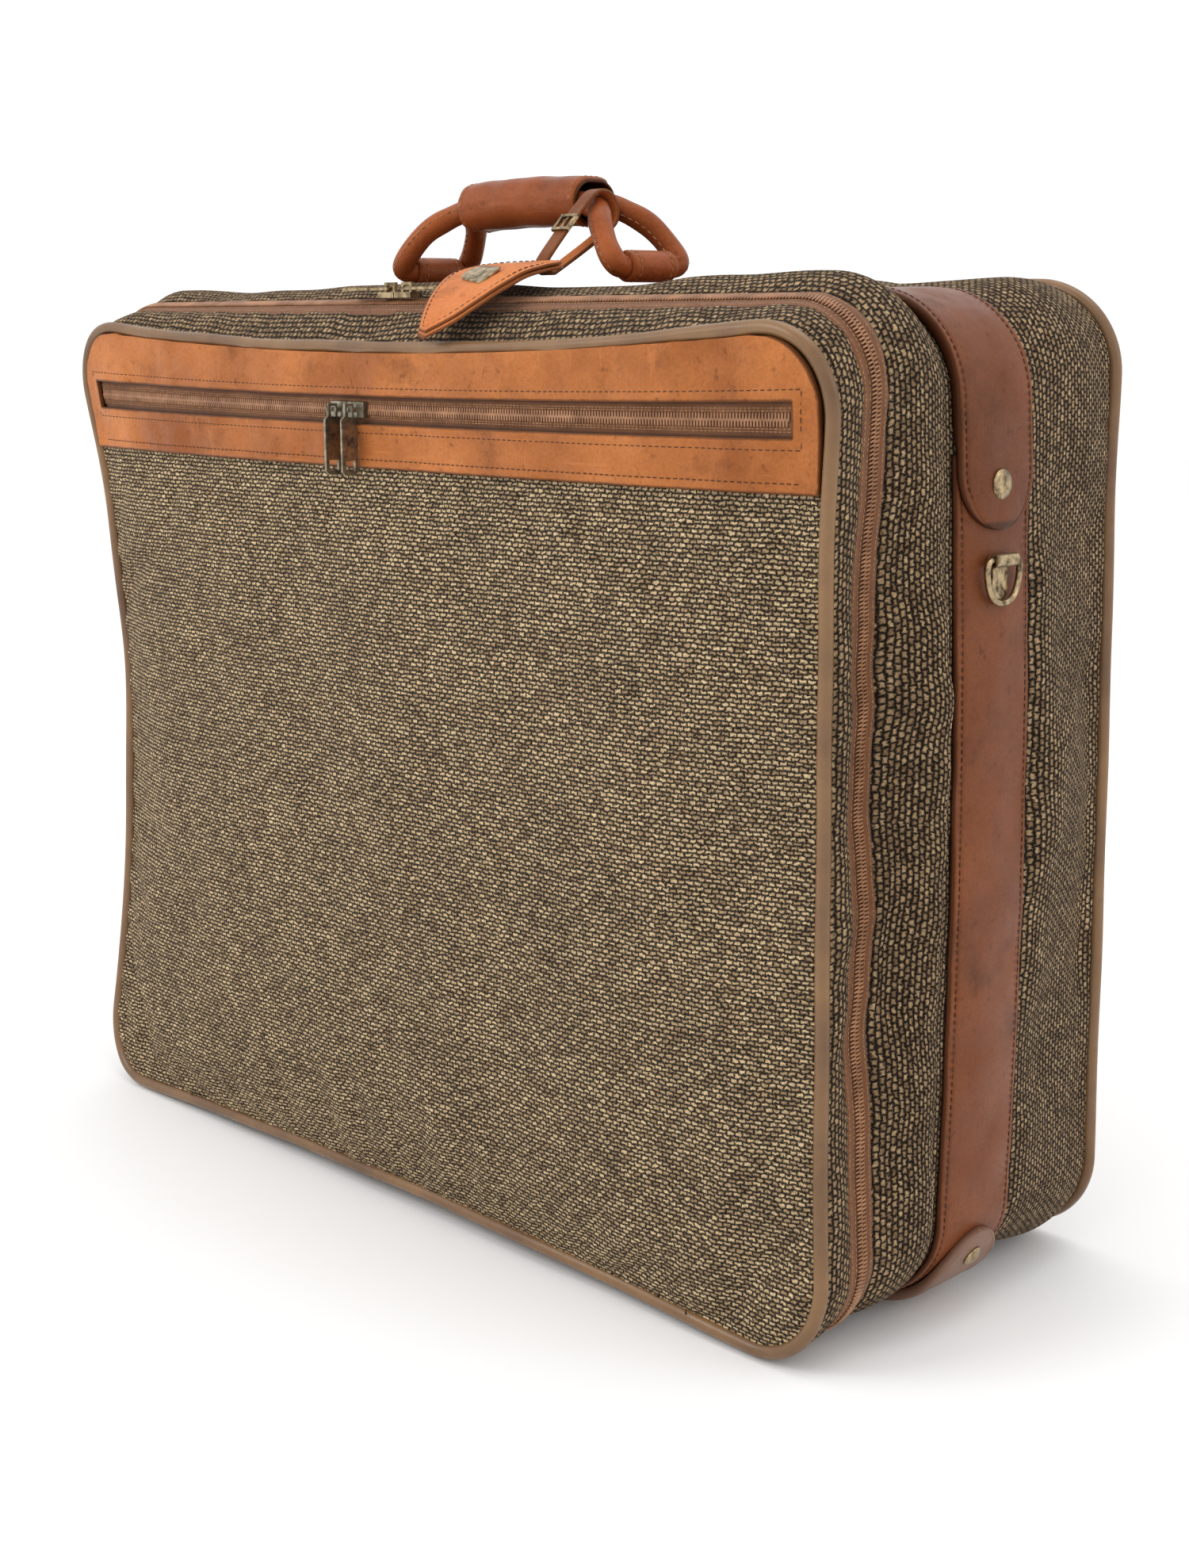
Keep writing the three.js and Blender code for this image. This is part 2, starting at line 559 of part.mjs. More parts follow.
// A tube that closes on itself along a closed curve.
function loopTube(curve, radius, steps, sides) {
  const geometry = new THREE.TorusGeometry(1, 0.4, sides, steps);
  const frames = curve.computeFrenetFrames(steps, true);
  const { position } = geometry.attributes;
  const point = new THREE.Vector3();
  for (let i = 0; i < position.count; i += 1) {
    const station = i % (steps + 1) % steps;
    const angle = ((Math.floor(i / (steps + 1)) % sides) * 2 * Math.PI) / sides;
    point.copy(curve.getPointAt(station / steps));
    point.addScaledVector(frames.normals[station], radius * Math.cos(angle));
    point.addScaledVector(frames.binormals[station], radius * Math.sin(angle));
    position.setXYZ(i, point.x, point.y, point.z);
  }
  return geometry;
}

const RING_WIRE = 1.6;
const SLEEVE_BORE = 2.1;
const KEEPER_OUTER = 3.4;

function ringX() {
  return sideX(RING_Z, LOWER_LIFT + STRAP_THICK) + KEEPER_OUTER + 0.9;
}

// The D-ring hangs from its straight bar, which lies along Y on the hinge line.
function ringGeometry() {
  const half = 12.9;
  const drop = 20.4;
  const points = [[-half + 2, 0], [half - 2, 0], [half, -1.6], [half, -8], [half * 0.72, -drop + 3.4],
    [half * 0.3, -drop], [-half * 0.3, -drop], [-half * 0.72, -drop + 3.4], [-half, -8], [-half, -1.6]];
  const curve = new THREE.CatmullRomCurve3(points.map(([y, z]) => new THREE.Vector3(0, y, z)), true,
    'catmullrom', 0.35);
  return loopTube(curve, RING_WIRE, 26, 6);
}

// The keeper: a rolled sleeve round the ring's bar and a round plate below it, flat on the strap.
function keeperGeometry() {
  const sleeve = cut(rodAlongY(KEEPER_OUTER, 18, 20), rodAlongY(SLEEVE_BORE, 30, 20));
  const plateX = -KEEPER_OUTER + 0.7;
  const tongue = slab(plateX, 0, -6, 1.4, 12, 12);
  const notch = rodAlongY(SLEEVE_BORE + 0.4, 30, 20);
  const plate = rodAlongX(6.5, 1.4, 20).translate(plateX, 0, -14);
  return join(sleeve, cut(tongue, notch), plate);
}

function buildFittings() {
  const lower = cut(strapRing(LOWER_LIFT, STRAP_THICK), slab(0, 0, LOWER_STRAP_TOP_Z + 400, 1000, 1000, 800));
  add('lower_strap', lower, STRAP_COLOUR, 0.5);
  add('top_strap', cut(strapRing(UPPER_LIFT, STRAP_THICK), tabCutter(STRAP_END_Z, STRAP_WIDTH / 2)),
    STRAP_COLOUR, 0.5);
  for (const [side, label] of [[-1, 'left'], [1, 'right']]) {
    const place = (geometry, x, z) => onSide(geometry, side, x, z).translate(0, STRAP_Y, 0);
    const strapFace = UPPER_LIFT + STRAP_THICK;
    add(`strap_rivet_${label}`, place(rivetGeometry(RIVET_RADIUS, 3), sideX(RIVET_Z, strapFace) + 0.6, RIVET_Z),
      BRASS_COLOUR, 0.4, 1);
    add(`ring_keeper_${label}`, place(keeperGeometry(), ringX(), RING_Z), BRASS_COLOUR, 0.4, 1);
    add(`d_ring_${label}`, place(ringGeometry(), ringX(), RING_Z), BRASS_COLOUR, 0.35, 1);
    const skid = skidGeometry();
    add(`corner_skid_${label}`, side < 0 ? skid.scale(-1, 1, 1) : skid, SKID_COLOUR, 0.5);
    add(`skid_rivet_${label}`, skidRivet(side), BRASS_COLOUR, 0.4, 1);
  }
}

// ---------------------------------------------------------------- the handle
// Path of one roll, from sleeve end to sleeve end; side is -1 for the front roll and 1 for the rear one.
function rollCurve(side) {
  const end = SLEEVE_LENGTH / 2 + GAP;
  const half = [[HANDLE_HALF, end, 0], [HANDLE_HALF, end + 3, 0], [HANDLE_HALF, end + 7, 2],
    [HANDLE_HALF - 5, 25, 9], [73.5, 19.3, 23], [62, 10, 31.5], [50, 6.9, 35], [20, 6.9, 38]];
  const right = half.map(([x, y, up]) => new THREE.Vector3(x, HANDLE_Y + side * y, HANDLE_AXIS_Z + up));
  const left = [...right].reverse().map((p) => new THREE.Vector3(-p.x, p.y, p.z));
  return new THREE.CatmullRomCurve3([...right, ...left]);
}

function circleShape(radius, sides) {
  const points = Array.from({ length: sides }, (_, i) => {
    const angle = (i * 2 * Math.PI) / sides;
    return [radius * Math.cos(angle), radius * Math.sin(angle)];
  });
  return shapeFrom(points);
}

function stadium(halfWidth, halfHeight, Kind, steps = 6) {
  const points = [];
  const flat = halfWidth - halfHeight;
  for (const [centre, start] of [[flat, -Math.PI / 2], [-flat, Math.PI / 2]]) {
    for (let i = 0; i <= steps; i += 1) {
      const angle = start + (i * Math.PI) / steps;
      points.push([centre + halfHeight * Math.cos(angle), halfHeight * Math.sin(angle)]);
    }
  }
  return shapeFrom(points, Kind);
}

function buildHandle() {
  for (const [side, label] of [[-1, 'front'], [1, 'rear']]) {
    const roll = new THREE.ExtrudeGeometry(circleShape(ROLL_RADIUS, 8),
      { steps: 32, extrudePath: rollCurve(side), bevelEnabled: false });
    add(`handle_roll_${label}`, roll, STRAP_COLOUR, 0.5);
  }
  const wrap = stadium(17, 13.4, THREE.Shape);
  wrap.holes.push(stadium(14.6, 11.3, THREE.Path));
  const grip = sideways(new THREE.ExtrudeGeometry(wrap, { depth: 2 * GRIP_HALF, bevelEnabled: false }), -GRIP_HALF);
  add('handle_grip', grip.translate(0, HANDLE_Y, GRIP_Z), STRAP_COLOUR, 0.5);
  const tabZ = topAt(STRAP_Y) + UPPER_LIFT + STRAP_THICK + 0.6;
  for (const [side, label] of [[-1, 'left'], [1, 'right']]) {
    const x = side * HANDLE_HALF;
    add(`handle_sleeve_${label}`, rodAlongY(SLEEVE_RADIUS, SLEEVE_LENGTH, 20).translate(x, HANDLE_Y, HANDLE_AXIS_Z),
      STRAP_COLOUR, 0.5);
    const base = slab(x, HANDLE_Y, tabZ + 0.8, 24, 14, 1.6);
    const neck = slab(x, HANDLE_Y, tabZ + 1.6, 16, 7, 2.4);
    add(`handle_tab_${label}`, join(base, neck), STRAP_COLOUR, 0.5);
  }
}

// ---------------------------------------------------------------- the luggage tag
const TAG_X = 64;
const TAG_ROLL_Y = HANDLE_Y - 11.2;
const TAG_ROLL_Z = HANDLE_AXIS_Z + 30.4;
const TAG_TURN = 0.22;
const LEAF_LENGTH = 80;
const LEAF_THICK = 2;
const LEAF_START_Y = -44;
const LEAF_BAR = 4.2;
const TAG_STRAP_WIDTH = 6;
const TAG_STRAP_THICK = 1.8;

// Height of the underside of the tag: it lies above the zip's sliders and drapes over the lid's top edge.
const DRAPE = [[-136, 484], [-124, 495], [-113, 506.5], [-100, 518], [-84, 528.5], [-72, 531.5], [-50, 534]];

// Half-width of the shield-shaped leaf along its length, 0 at the strap end and 1 at the tip.
const SHIELD = [[0, 12], [0.06, 22], [0.14, 29], [0.3, 31.5], [0.5, 30.5], [0.68, 26], [0.84, 18], [0.94, 10],
  [1, 3]];

// A patch of the draped leaf: rows of [distance from the head, half-width], at a lift over the drape.
function leafPatch(rows, lift, thick) {
  const columns = 4;
  return gridSlab(columns, rows.length - 1, (column, row, side) => {
    const [along, half] = rows[row];
    const across = (column / (columns / 2) - 1) * half;
    const x = TAG_X - along * Math.sin(TAG_TURN) + across * Math.cos(TAG_TURN);
    const y = LEAF_START_Y - along * Math.cos(TAG_TURN) - across * Math.sin(TAG_TURN);
    return [x, y, profileAt(DRAPE, y) + lift + (side === 0 ? thick : 0)];
  });
}

function leafGeometry(shrink, lift) {
  const rows = SHIELD.map(([t, half]) => [clamp(t * LEAF_LENGTH, 0, LEAF_LENGTH - shrink), half - shrink]);
  const slot = slab(0, 0, 0, TAG_STRAP_WIDTH + 3, 4.4, 60).rotateZ(TAG_TURN)
    .translate(TAG_X, LEAF_START_Y - LEAF_BAR - 2, profileAt(DRAPE, LEAF_START_Y));
  return cut(leafPatch(rows, lift, LEAF_THICK), slot);
}

// Outline of the strap loop: a large round end about the handle's roll and a small one about the leaves.
function loopOutline(grow, reach, Kind) {
  const headRadius = 10.2 + grow;
  const footRadius = 3.6 + grow;
  const points = [];
  for (let i = 0; i <= 8; i += 1) {
    const angle = -Math.PI / 2 + (i * Math.PI) / 8;
    points.push([headRadius * Math.cos(angle), headRadius * Math.sin(angle)]);
  }
  for (let i = 0; i <= 6; i += 1) {
    const angle = Math.PI / 2 + (i * Math.PI) / 6;
    points.push([-reach + footRadius * Math.cos(angle), footRadius * Math.sin(angle)]);
  }
  return shapeFrom(points, Kind);
}

function buildTag() {
  const leafMid = profileAt(DRAPE, LEAF_START_Y) + LEAF_THICK + GAP / 2;
  const runY = LEAF_START_Y - LEAF_BAR / 2 - TAG_ROLL_Y;
  const runZ = leafMid - TAG_ROLL_Z;
  const reach = Math.hypot(runY, runZ);
  const slope = Math.atan2(-runZ, -runY);
  const place = (geometry) => geometry.rotateX(slope).translate(TAG_X, TAG_ROLL_Y, TAG_ROLL_Z);
  const outline = loopOutline(TAG_STRAP_THICK, reach, THREE.Shape);
  outline.holes.push(loopOutline(0, reach, THREE.Path));
  const loop = new THREE.ExtrudeGeometry(outline, { depth: TAG_STRAP_WIDTH, bevelEnabled: false });
  add('tag_strap', place(sideways(loop, -TAG_STRAP_WIDTH / 2)), LEATHER_COLOUR, 0.6);
  const taper = Math.atan2(10.2 - 3.6, reach);
  const buckleUp = 10.2 + TAG_STRAP_THICK - (10.2 - 3.6) * 0.5 + 1.4;
  const onStrap = (geometry) => place(geometry.rotateX(taper).translate(0, -reach / 2, buckleUp));
  const frame = cut(slab(0, 0, 0, 13, 12, 1.8), slab(0, 0, 0, 8.6, 8, 6));
  add('tag_buckle', onStrap(frame), BRASS_COLOUR, 0.35, 1);
  add('tag_prong', onStrap(slab(0, 0, 0, 1.6, 7.2, 1.2)), BRASS_COLOUR, 0.35, 1);
  add('tag_back_leaf', leafGeometry(0, 0), LEATHER_COLOUR, 0.6);
  add('tag_front_leaf', leafGeometry(1, LEAF_THICK + GAP), LEATHER_COLOUR, 0.6);
  const plateRows = [[36, 9], [38, 11], [40, 11.6], [46, 11.6], [48, 11], [50, 9]];
  add('tag_plate', leafPatch(plateRows, 2 * LEAF_THICK + 2 * GAP, 1), BRASS_COLOUR, 0.35, 1);
}

buildBody();
buildMainZip();
buildLid();
buildSliders();
buildFittings();
buildHandle();
buildTag();

export default suitcase;
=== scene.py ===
"""The looks of a softside upright suitcase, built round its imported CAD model.

Shapes are worked out in millimetres in the CAD frame and become metres when a mesh is made. Most pieces lie
on the case's loop, a rounded rectangle seen from the front: a point on it has a distance s round the loop
from the middle of the right side, a depth y and a height out of the cloth.
"""

import math

import bmesh
import bpy
import numpy as np
from mathutils import Matrix, Vector


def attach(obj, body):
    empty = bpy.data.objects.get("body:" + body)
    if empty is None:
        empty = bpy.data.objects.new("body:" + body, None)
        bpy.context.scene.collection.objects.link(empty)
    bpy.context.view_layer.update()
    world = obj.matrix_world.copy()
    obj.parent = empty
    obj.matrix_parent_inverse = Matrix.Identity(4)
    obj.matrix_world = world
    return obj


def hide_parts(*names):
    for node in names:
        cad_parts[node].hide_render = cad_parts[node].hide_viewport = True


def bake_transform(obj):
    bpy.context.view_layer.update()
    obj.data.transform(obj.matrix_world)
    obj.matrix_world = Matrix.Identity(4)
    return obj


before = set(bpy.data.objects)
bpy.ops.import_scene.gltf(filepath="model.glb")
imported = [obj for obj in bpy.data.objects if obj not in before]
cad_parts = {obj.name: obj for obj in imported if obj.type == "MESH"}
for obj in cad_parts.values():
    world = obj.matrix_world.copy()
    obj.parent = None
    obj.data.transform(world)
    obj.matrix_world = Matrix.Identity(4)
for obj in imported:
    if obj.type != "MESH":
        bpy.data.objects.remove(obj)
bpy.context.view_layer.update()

# ---------------------------------------------------------------- sizes of the case, as in the CAD source
HALF_WIDTH = 316.4
CORNER = 46.0
MID_Z = 254.3
HALF_HEIGHT = 250.7
FRONT_Y = -109.0
ZIP_Y = -78.0
BACK_Y = 117.0
STRAP_Y = 4.0
STRAP_HALF = 30.0
STRAP_THICK = 2.4
LOWER_LIFT = 1.0
UPPER_LIFT = 4.2
BAND_LOW_Z = 427.0
SLOT_LOW_Z = 453.0
SLOT_HIGH_Z = 470.0
SLOT_HALF = 297.0
PIPING_RADIUS = 3.6
HINGE_HALF = 262.0
HANDLE_AXIS_Z = 535.6
HANDLE_HALF = 90.0
TOP_PROFILE = ((-109, 505), (-78, 517), (-52, 523), (-26, 515), (34, 515), (64, 524), (117, 523))
BOTTOM_PROFILE = ((-109, 3.6), (-78, 6), (-52, 12), (64, 12), (117, 8))

# Lengths of a quarter of the loop: half a side, the corner and half the top.
SIDE = 209.0
ARC = CORNER * math.pi / 2
EDGE = HALF_WIDTH - CORNER
QUARTER = SIDE + ARC + EDGE
ROUND = 4 * QUARTER

DEPTHS = np.arange(-150, 150.1, 0.5)


def smoothed(pairs, spread=5.0):
    """A height for each of DEPTHS, through the pairs with their corners rounded off."""
    steps = np.arange(-40, 41)
    kernel = np.exp(-0.5 * (steps * 0.5 / spread) ** 2)
    heights = np.interp(DEPTHS, *zip(*pairs))
    return np.convolve(np.pad(heights, 40, mode="edge"), kernel / kernel.sum(), "valid")


TOP_HEIGHTS = smoothed(TOP_PROFILE)
BOTTOM_HEIGHTS = smoothed(BOTTOM_PROFILE)


def smooth(low, high, value):
    t = np.clip((value - low) / (high - low), 0, 1)
    return t * t * (3 - 2 * t)


def slump(x, y, z):
    """The soft case's slump, as in the CAD source."""
    u = np.clip(x / (HALF_WIDTH - 14), -1, 1)
    w = np.clip((z - MID_Z) / HALF_HEIGHT, -1, 1)
    front = smooth(-26.0, ZIP_Y, y)
    lid_edge = smooth(ZIP_Y, FRONT_Y, y)
    edge_x = np.abs(u) ** 4
    mid_height = 1 - w * w
    off_strap = np.clip(y - STRAP_Y, -100, 100)
    bulge = np.cos(off_strap * math.pi / 200) ** 2
    moved_x = x - np.sign(u) * edge_x * mid_height * (18 * front - 9 * bulge)
    moved_y = y + front * 18 * edge_x * mid_height
    dip = np.where(w > 0, -14, 8)
    moved_z = z + lid_edge * dip * np.abs(w) ** 8 * (1 - u * u)
    return np.stack([moved_x, moved_y, moved_z], -1)


def on_loop(s, y, out):
    """Points at distance s round the loop, depth y and height out of the cloth, before the slump."""
    s, y, out = np.broadcast_arrays(np.asarray(s, float), np.asarray(y, float), np.asarray(out, float))
    top = np.interp(y, DEPTHS, TOP_HEIGHTS)
    bottom = np.interp(y, DEPTHS, BOTTOM_HEIGHTS)
    around = np.mod(s, ROUND)
    quadrant = np.minimum((around // QUARTER).astype(int), 3)
    part = around - quadrant * QUARTER
    along = np.where(quadrant % 2 == 0, part, QUARTER - part)
    sign_x = np.where((quadrant == 0) | (quadrant == 3), 1, -1)
    sign_z = np.where(quadrant < 2, 1, -1)
    angle = np.clip((along - SIDE) / ARC, 0, 1) * math.pi / 2
    radius = CORNER + out
    x = EDGE * np.clip((QUARTER - along) / EDGE, 0, 1) + radius * np.cos(angle)
    flat_z = (top - bottom) / 2 - CORNER
    z = flat_z * np.clip(along / SIDE, 0, 1) + radius * np.sin(angle)
    return sign_x * x, y, (top + bottom) / 2 + sign_z * z


def on_case(s, y, out):
    """Points on the slumped case."""
    return slump(*on_loop(s, y, out))


def on_front(x, z, out):
    """Points on the lid's front, at a height out of the cloth panel."""
    x, z, out = np.broadcast_arrays(np.asarray(x, float), np.asarray(z, float), np.asarray(out, float))
    moved = slump(x, np.full_like(x, FRONT_Y - 1), z)
    moved[..., 1] -= out
    return moved


def side_s(z):
    """Distance round the loop of a height on the right side, on the strap's line."""
    top, bottom = 515.0, 12.0
    return (z - (top + bottom) / 2) / ((top - bottom) / 2 - CORNER) * SIDE


def waves(a, b, size, seed, count=7):
    """Smooth seeded noise of about -1 to 1 over two coordinates, with humps of about that size."""
    dice = np.random.default_rng(seed)
    total = 0.0
    for _ in range(count):
        turn = dice.uniform(0, 2 * math.pi)
        pace = 2 * math.pi / size * dice.uniform(0.6, 1.5)
        along = a * math.cos(turn) + b * math.sin(turn)
        total = total + np.sin(pace * along + dice.uniform(0, 2 * math.pi))
    return total / math.sqrt(count)


def loop_waves(s, y, size, seed, stretch=1.0):
    """The same noise round the loop, meeting itself under the case; stretch below 1 draws it out along s."""
    along = np.mod(s + QUARTER, ROUND)
    share = smooth(ROUND - 220, ROUND, along)
    ahead = waves(along * stretch, y, size, seed)
    behind = waves((along - ROUND) * stretch, y, size, seed)
    return ahead * (1 - share) + behind * share


# ---------------------------------------------------------------- meshes
def mesh_object(name, points, faces, uvs=None, edge=None, facing=None):
    """A smooth-shaded mesh object from points in millimetres, with a pair of uvs for each corner of a face.
    An open sheet states the way it faces; the faces of anything else turn outwards."""
    mesh = bpy.data.meshes.new(name)
    mesh.from_pydata((np.asarray(points) / 1000).tolist(), [], [list(map(int, f)) for f in faces])
    if uvs is not None:
        layer = mesh.uv_layers.new(name="UVMap")
        layer.data.foreach_set("uv", np.asarray(uvs, np.float32).ravel())
    if edge is not None:
        attribute = mesh.attributes.new("edge", "FLOAT", "POINT")
        attribute.data.foreach_set("value", np.asarray(edge, np.float32).ravel())
    mesh.polygons.foreach_set("use_smooth", [True] * len(mesh.polygons))
    mesh.update()
    shape = bmesh.new()
    shape.from_mesh(mesh)
    if facing is None:
        bmesh.ops.recalc_face_normals(shape, faces=shape.faces)
    elif sum(face.normal.dot(Vector(facing)) for face in shape.faces) < 0:
        bmesh.ops.reverse_faces(shape, faces=shape.faces)
    shape.to_mesh(mesh)
    shape.free()
    made = bpy.data.objects.new(name, mesh)
    bpy.context.scene.collection.objects.link(made)
    return made


def grid_faces(rows, columns, wrap_rows, wrap_columns):
    """Faces of a grid of points, with the row and column of each corner before wrapping."""
    i, j = np.meshgrid(np.arange(rows - 1 + wrap_rows), np.arange(columns - 1 + wrap_columns), indexing="ij")
    i, j = i.ravel(), j.ravel()
    corners = np.stack([np.stack([i, i + 1, i + 1, i], 1), np.stack([j, j, j + 1, j + 1], 1)], -1)
    faces = (corners[..., 0] % rows) * columns + corners[..., 1] % columns
    return faces, corners


def grid_object(name, points, u, v, wrap=(False, False), edge=None, caps=False):
    """A closed mesh from a grid of points. u runs over the rows and v over the columns, in millimetres."""
    rows, columns = points.shape[:2]
    faces, corners = grid_faces(rows, columns, *wrap)
    uvs = np.stack([u[corners[..., 0]], v[corners[..., 1]]], -1)
    faces = faces.tolist()
    uvs = uvs.reshape(-1, 2).tolist()
    if caps:
        for row in (0, rows - 1):
            faces.append([row * columns + c for c in range(columns)])
            uvs += [[u[row], v[c % columns]] for c in range(columns)]
    return mesh_object(name, points.reshape(-1, 3), faces, uvs, None if edge is None else edge.ravel())


def stamp(name, template, places, spread):
    """Copies of a small template, each vertex set down on a surface. places holds rows of (a, b, c, turn)."""
    shape, faces = template
    places = np.asarray(places, float)
    turn = places[:, 3:4]
    a = places[:, 0:1] + shape[:, 0] * np.cos(turn) - shape[:, 1] * np.sin(turn)
    b = places[:, 1:2] + shape[:, 0] * np.sin(turn) + shape[:, 1] * np.cos(turn)
    c = places[:, 2:3] + shape[:, 2] + np.zeros_like(a)
    points = spread(a, b, c).reshape(-1, 3)
    count = len(shape)
    all_faces = [[v + k * count for v in f] for k in range(len(places)) for f in faces]
    return mesh_object(name, points, all_faces)


def capsule(length, width, height, sides=6):
    """A small bead for stitches and teeth, lying along the first axis."""
    rings = ((-0.5, 0.35), (-0.36, 0.9), (0.0, 1.0), (0.36, 0.9), (0.5, 0.35))
    angles = np.arange(sides) * 2 * math.pi / sides
    points = [(t * length, grow * width / 2 * math.cos(a), grow * height / 2 * math.sin(a))
              for t, grow in rings for a in angles]
    faces = grid_faces(len(rings), sides, False, True)[0][:, ::-1].tolist()
    faces.append(list(range(sides))[::-1])
    faces.append([(len(rings) - 1) * sides + k for k in range(sides)])
    return np.array(points), faces


def sheet_ring(name, s, y, out, thick, wrap=True):
    """Cloth round the loop, one thickness deep: y and out are grids over s and the width."""
    depth = np.concatenate([y, y[:, ::-1]], 1)
    height = np.concatenate([out, out[:, ::-1] - thick], 1)
    points = on_case(s[:, None], depth, height)
    step = s[1] - s[0]
    u = np.append(s, s[-1] + step)
    middle = depth[0]
    v = np.append(middle, middle[0])
    return grid_object(name, points, u, v, (wrap, True), caps=not wrap)


def path_frames(path, closed=False):
    """Directions ahead, out and across at each point of a path, carried along it without twist."""
    ahead = np.roll(path, -1, 0) - np.roll(path, 1, 0) if closed else np.gradient(path, axis=0)
    ahead = ahead / np.linalg.norm(ahead, axis=1)[:, None]
    guide = np.array([0.0, 0.0, 1.0]) if abs(ahead[0][2]) < 0.9 else np.array([1.0, 0.0, 0.0])
    normals = []
    for t in ahead:
        guide = guide - t * (guide @ t)
        guide = guide / np.linalg.norm(guide)
        normals.append(guide)
    normals = np.array(normals)
    return ahead, normals, np.cross(ahead, normals)


def tube_line(path, radius, angle):
    """A line along a tube's surface, at an angle round it."""
    _, normals, across = path_frames(path)
    return path + radius * (math.cos(angle) * normals + math.sin(angle) * across)


def stitches(name, path, pitch, length, width):
    """A row of stitches along a path of points in millimetres."""
    path = np.asarray(path, float)
    lengths = np.append(0, np.cumsum(np.linalg.norm(np.diff(path, axis=0), axis=1)))
    count = max(2, round(lengths[-1] / pitch))
    starts = (np.arange(count) + 0.5) / count * lengths[-1]

    def at(distance):
        return np.stack([np.interp(distance, lengths, path[:, axis]) for axis in range(3)], -1)

    middles = at(starts)
    ahead = at(np.minimum(starts + 0.5, lengths[-1])) - at(np.maximum(starts - 0.5, 0))
    ahead /= np.linalg.norm(ahead, axis=1)[:, None]
    up = np.where(np.abs(ahead[:, 2:3]) < 0.8, [[0.0, 0.0, 1.0]], [[1.0, 0.0, 0.0]])
    side = np.cross(up, ahead)
    side /= np.linalg.norm(side, axis=1)[:, None]
    up = np.cross(ahead, side)
    shape, faces = capsule(length, width, width)
    axes = np.stack([ahead, side, up], 1)
    points = middles[:, None] + np.einsum("vk,skc->svc", shape, axes)
    all_faces = [[v + k * len(shape) for v in f] for k in range(count) for f in faces]
    return mesh_object(name, points.reshape(-1, 3), all_faces)


def tube(name, path, radius, sides=16, closed=False, ripple=0.0):
    """A round tube along a path of points in millimetres."""
    path = np.asarray(path, float)
    count = len(path)
    _, normals, across = path_frames(path, closed)
    angles = np.arange(sides) * 2 * math.pi / sides
    lengths = np.append(0, np.cumsum(np.linalg.norm(np.diff(path, axis=0), axis=1)))
    size = np.broadcast_to(radius, count) * (1 + ripple * waves(lengths, 0 * lengths, 18, 3))
    points = path[:, None] + size[:, None, None] * (
        np.cos(angles)[None, :, None] * normals[:, None] + np.sin(angles)[None, :, None] * across[:, None]
    )
    u = np.append(lengths, lengths[-1] * 2 - lengths[-2])
    v = np.arange(sides + 1) / sides * 2 * math.pi * float(np.mean(size))
    return grid_object(name, points, u, v, (closed, True), caps=not closed)


def lathe(name, profile, sides=28):
    """A turned piece about +X from (radius, height) pairs."""
    angles = np.arange(sides) * 2 * math.pi / sides
    r, h = np.array(profile, float).T
    heights = np.broadcast_to(h[:, None], (len(h), sides))
    points = np.stack([heights, r[:, None] * np.cos(angles), r[:, None] * np.sin(angles)], -1)
    u = np.append(np.cumsum(np.hypot(np.diff(r, prepend=r[0]), np.diff(h, prepend=h[0]))), 0)
    v = np.arange(sides + 1) * 1.0
    return grid_object(name, points, u, v, (False, True), caps=True)


def curve_through(points, count, closed=False):
    """Points along a centripetal Catmull-Rom curve."""
    p = np.asarray(points, float)
    if closed:
        p = np.concatenate([p[-1:], p, p[:2]])
    else:
        p = np.concatenate([2 * p[:1] - p[1:2], p, 2 * p[-1:] - p[-2:-1]])
    made = []
    per = 16
    for k in range(1, len(p) - 2):
        knots = [0.0]
        for a, b in zip(p[k - 1 : k + 2], p[k : k + 3]):
            knots.append(knots[-1] + max(np.linalg.norm(b - a), 1e-6) ** 0.5)
        t0, t1, t2, t3 = knots
        for t in np.linspace(t1, t2, per, endpoint=False):
            a1 = ((t1 - t) * p[k - 1] + (t - t0) * p[k]) / (t1 - t0)
            a2 = ((t2 - t) * p[k] + (t - t1) * p[k + 1]) / (t2 - t1)
            a3 = ((t3 - t) * p[k + 1] + (t - t2) * p[k + 2]) / (t3 - t2)
            b1 = ((t2 - t) * a1 + (t - t0) * a2) / (t2 - t0)
            b2 = ((t3 - t) * a2 + (t - t1) * a3) / (t3 - t1)
            made.append(((t2 - t) * b1 + (t - t1) * b2) / (t2 - t1))
    made.append(p[-2] if not closed else made[0])
    made = np.array(made)
    lengths = np.append(0, np.cumsum(np.linalg.norm(np.diff(made, axis=0), axis=1)))
    wanted = np.linspace(0, lengths[-1], count, endpoint=not closed)
    return np.stack([np.interp(wanted, lengths, made[:, axis]) for axis in range(3)], 1)


def finish_piece(piece, body, slot, material, *nodes):
    """Gives a piece its material and its body, and hides the CAD nodes it stands for. slot is not used."""
    piece.data.materials.clear()
    piece.data.materials.append(material)
    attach(piece, body)
    if nodes:
        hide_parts(*nodes)
    return piece


def sew(name, path, body, slot, thread, size=(4.0, 2.7, 0.6)):
    """Stitches along a path; size is their pitch, length and width."""
    finish_piece(stitches(name, path, *size), body, slot, thread)


# ---------------------------------------------------------------- materials
def rgb(red, green, blue):
    """A display colour of 0 to 255 as the linear colour a shader takes."""
    parts = [c / 255 for c in (red, green, blue)]
    return (*[p / 12.92 if p <= 0.04045 else ((p + 0.055) / 1.055) ** 2.4 for p in parts], 1.0)


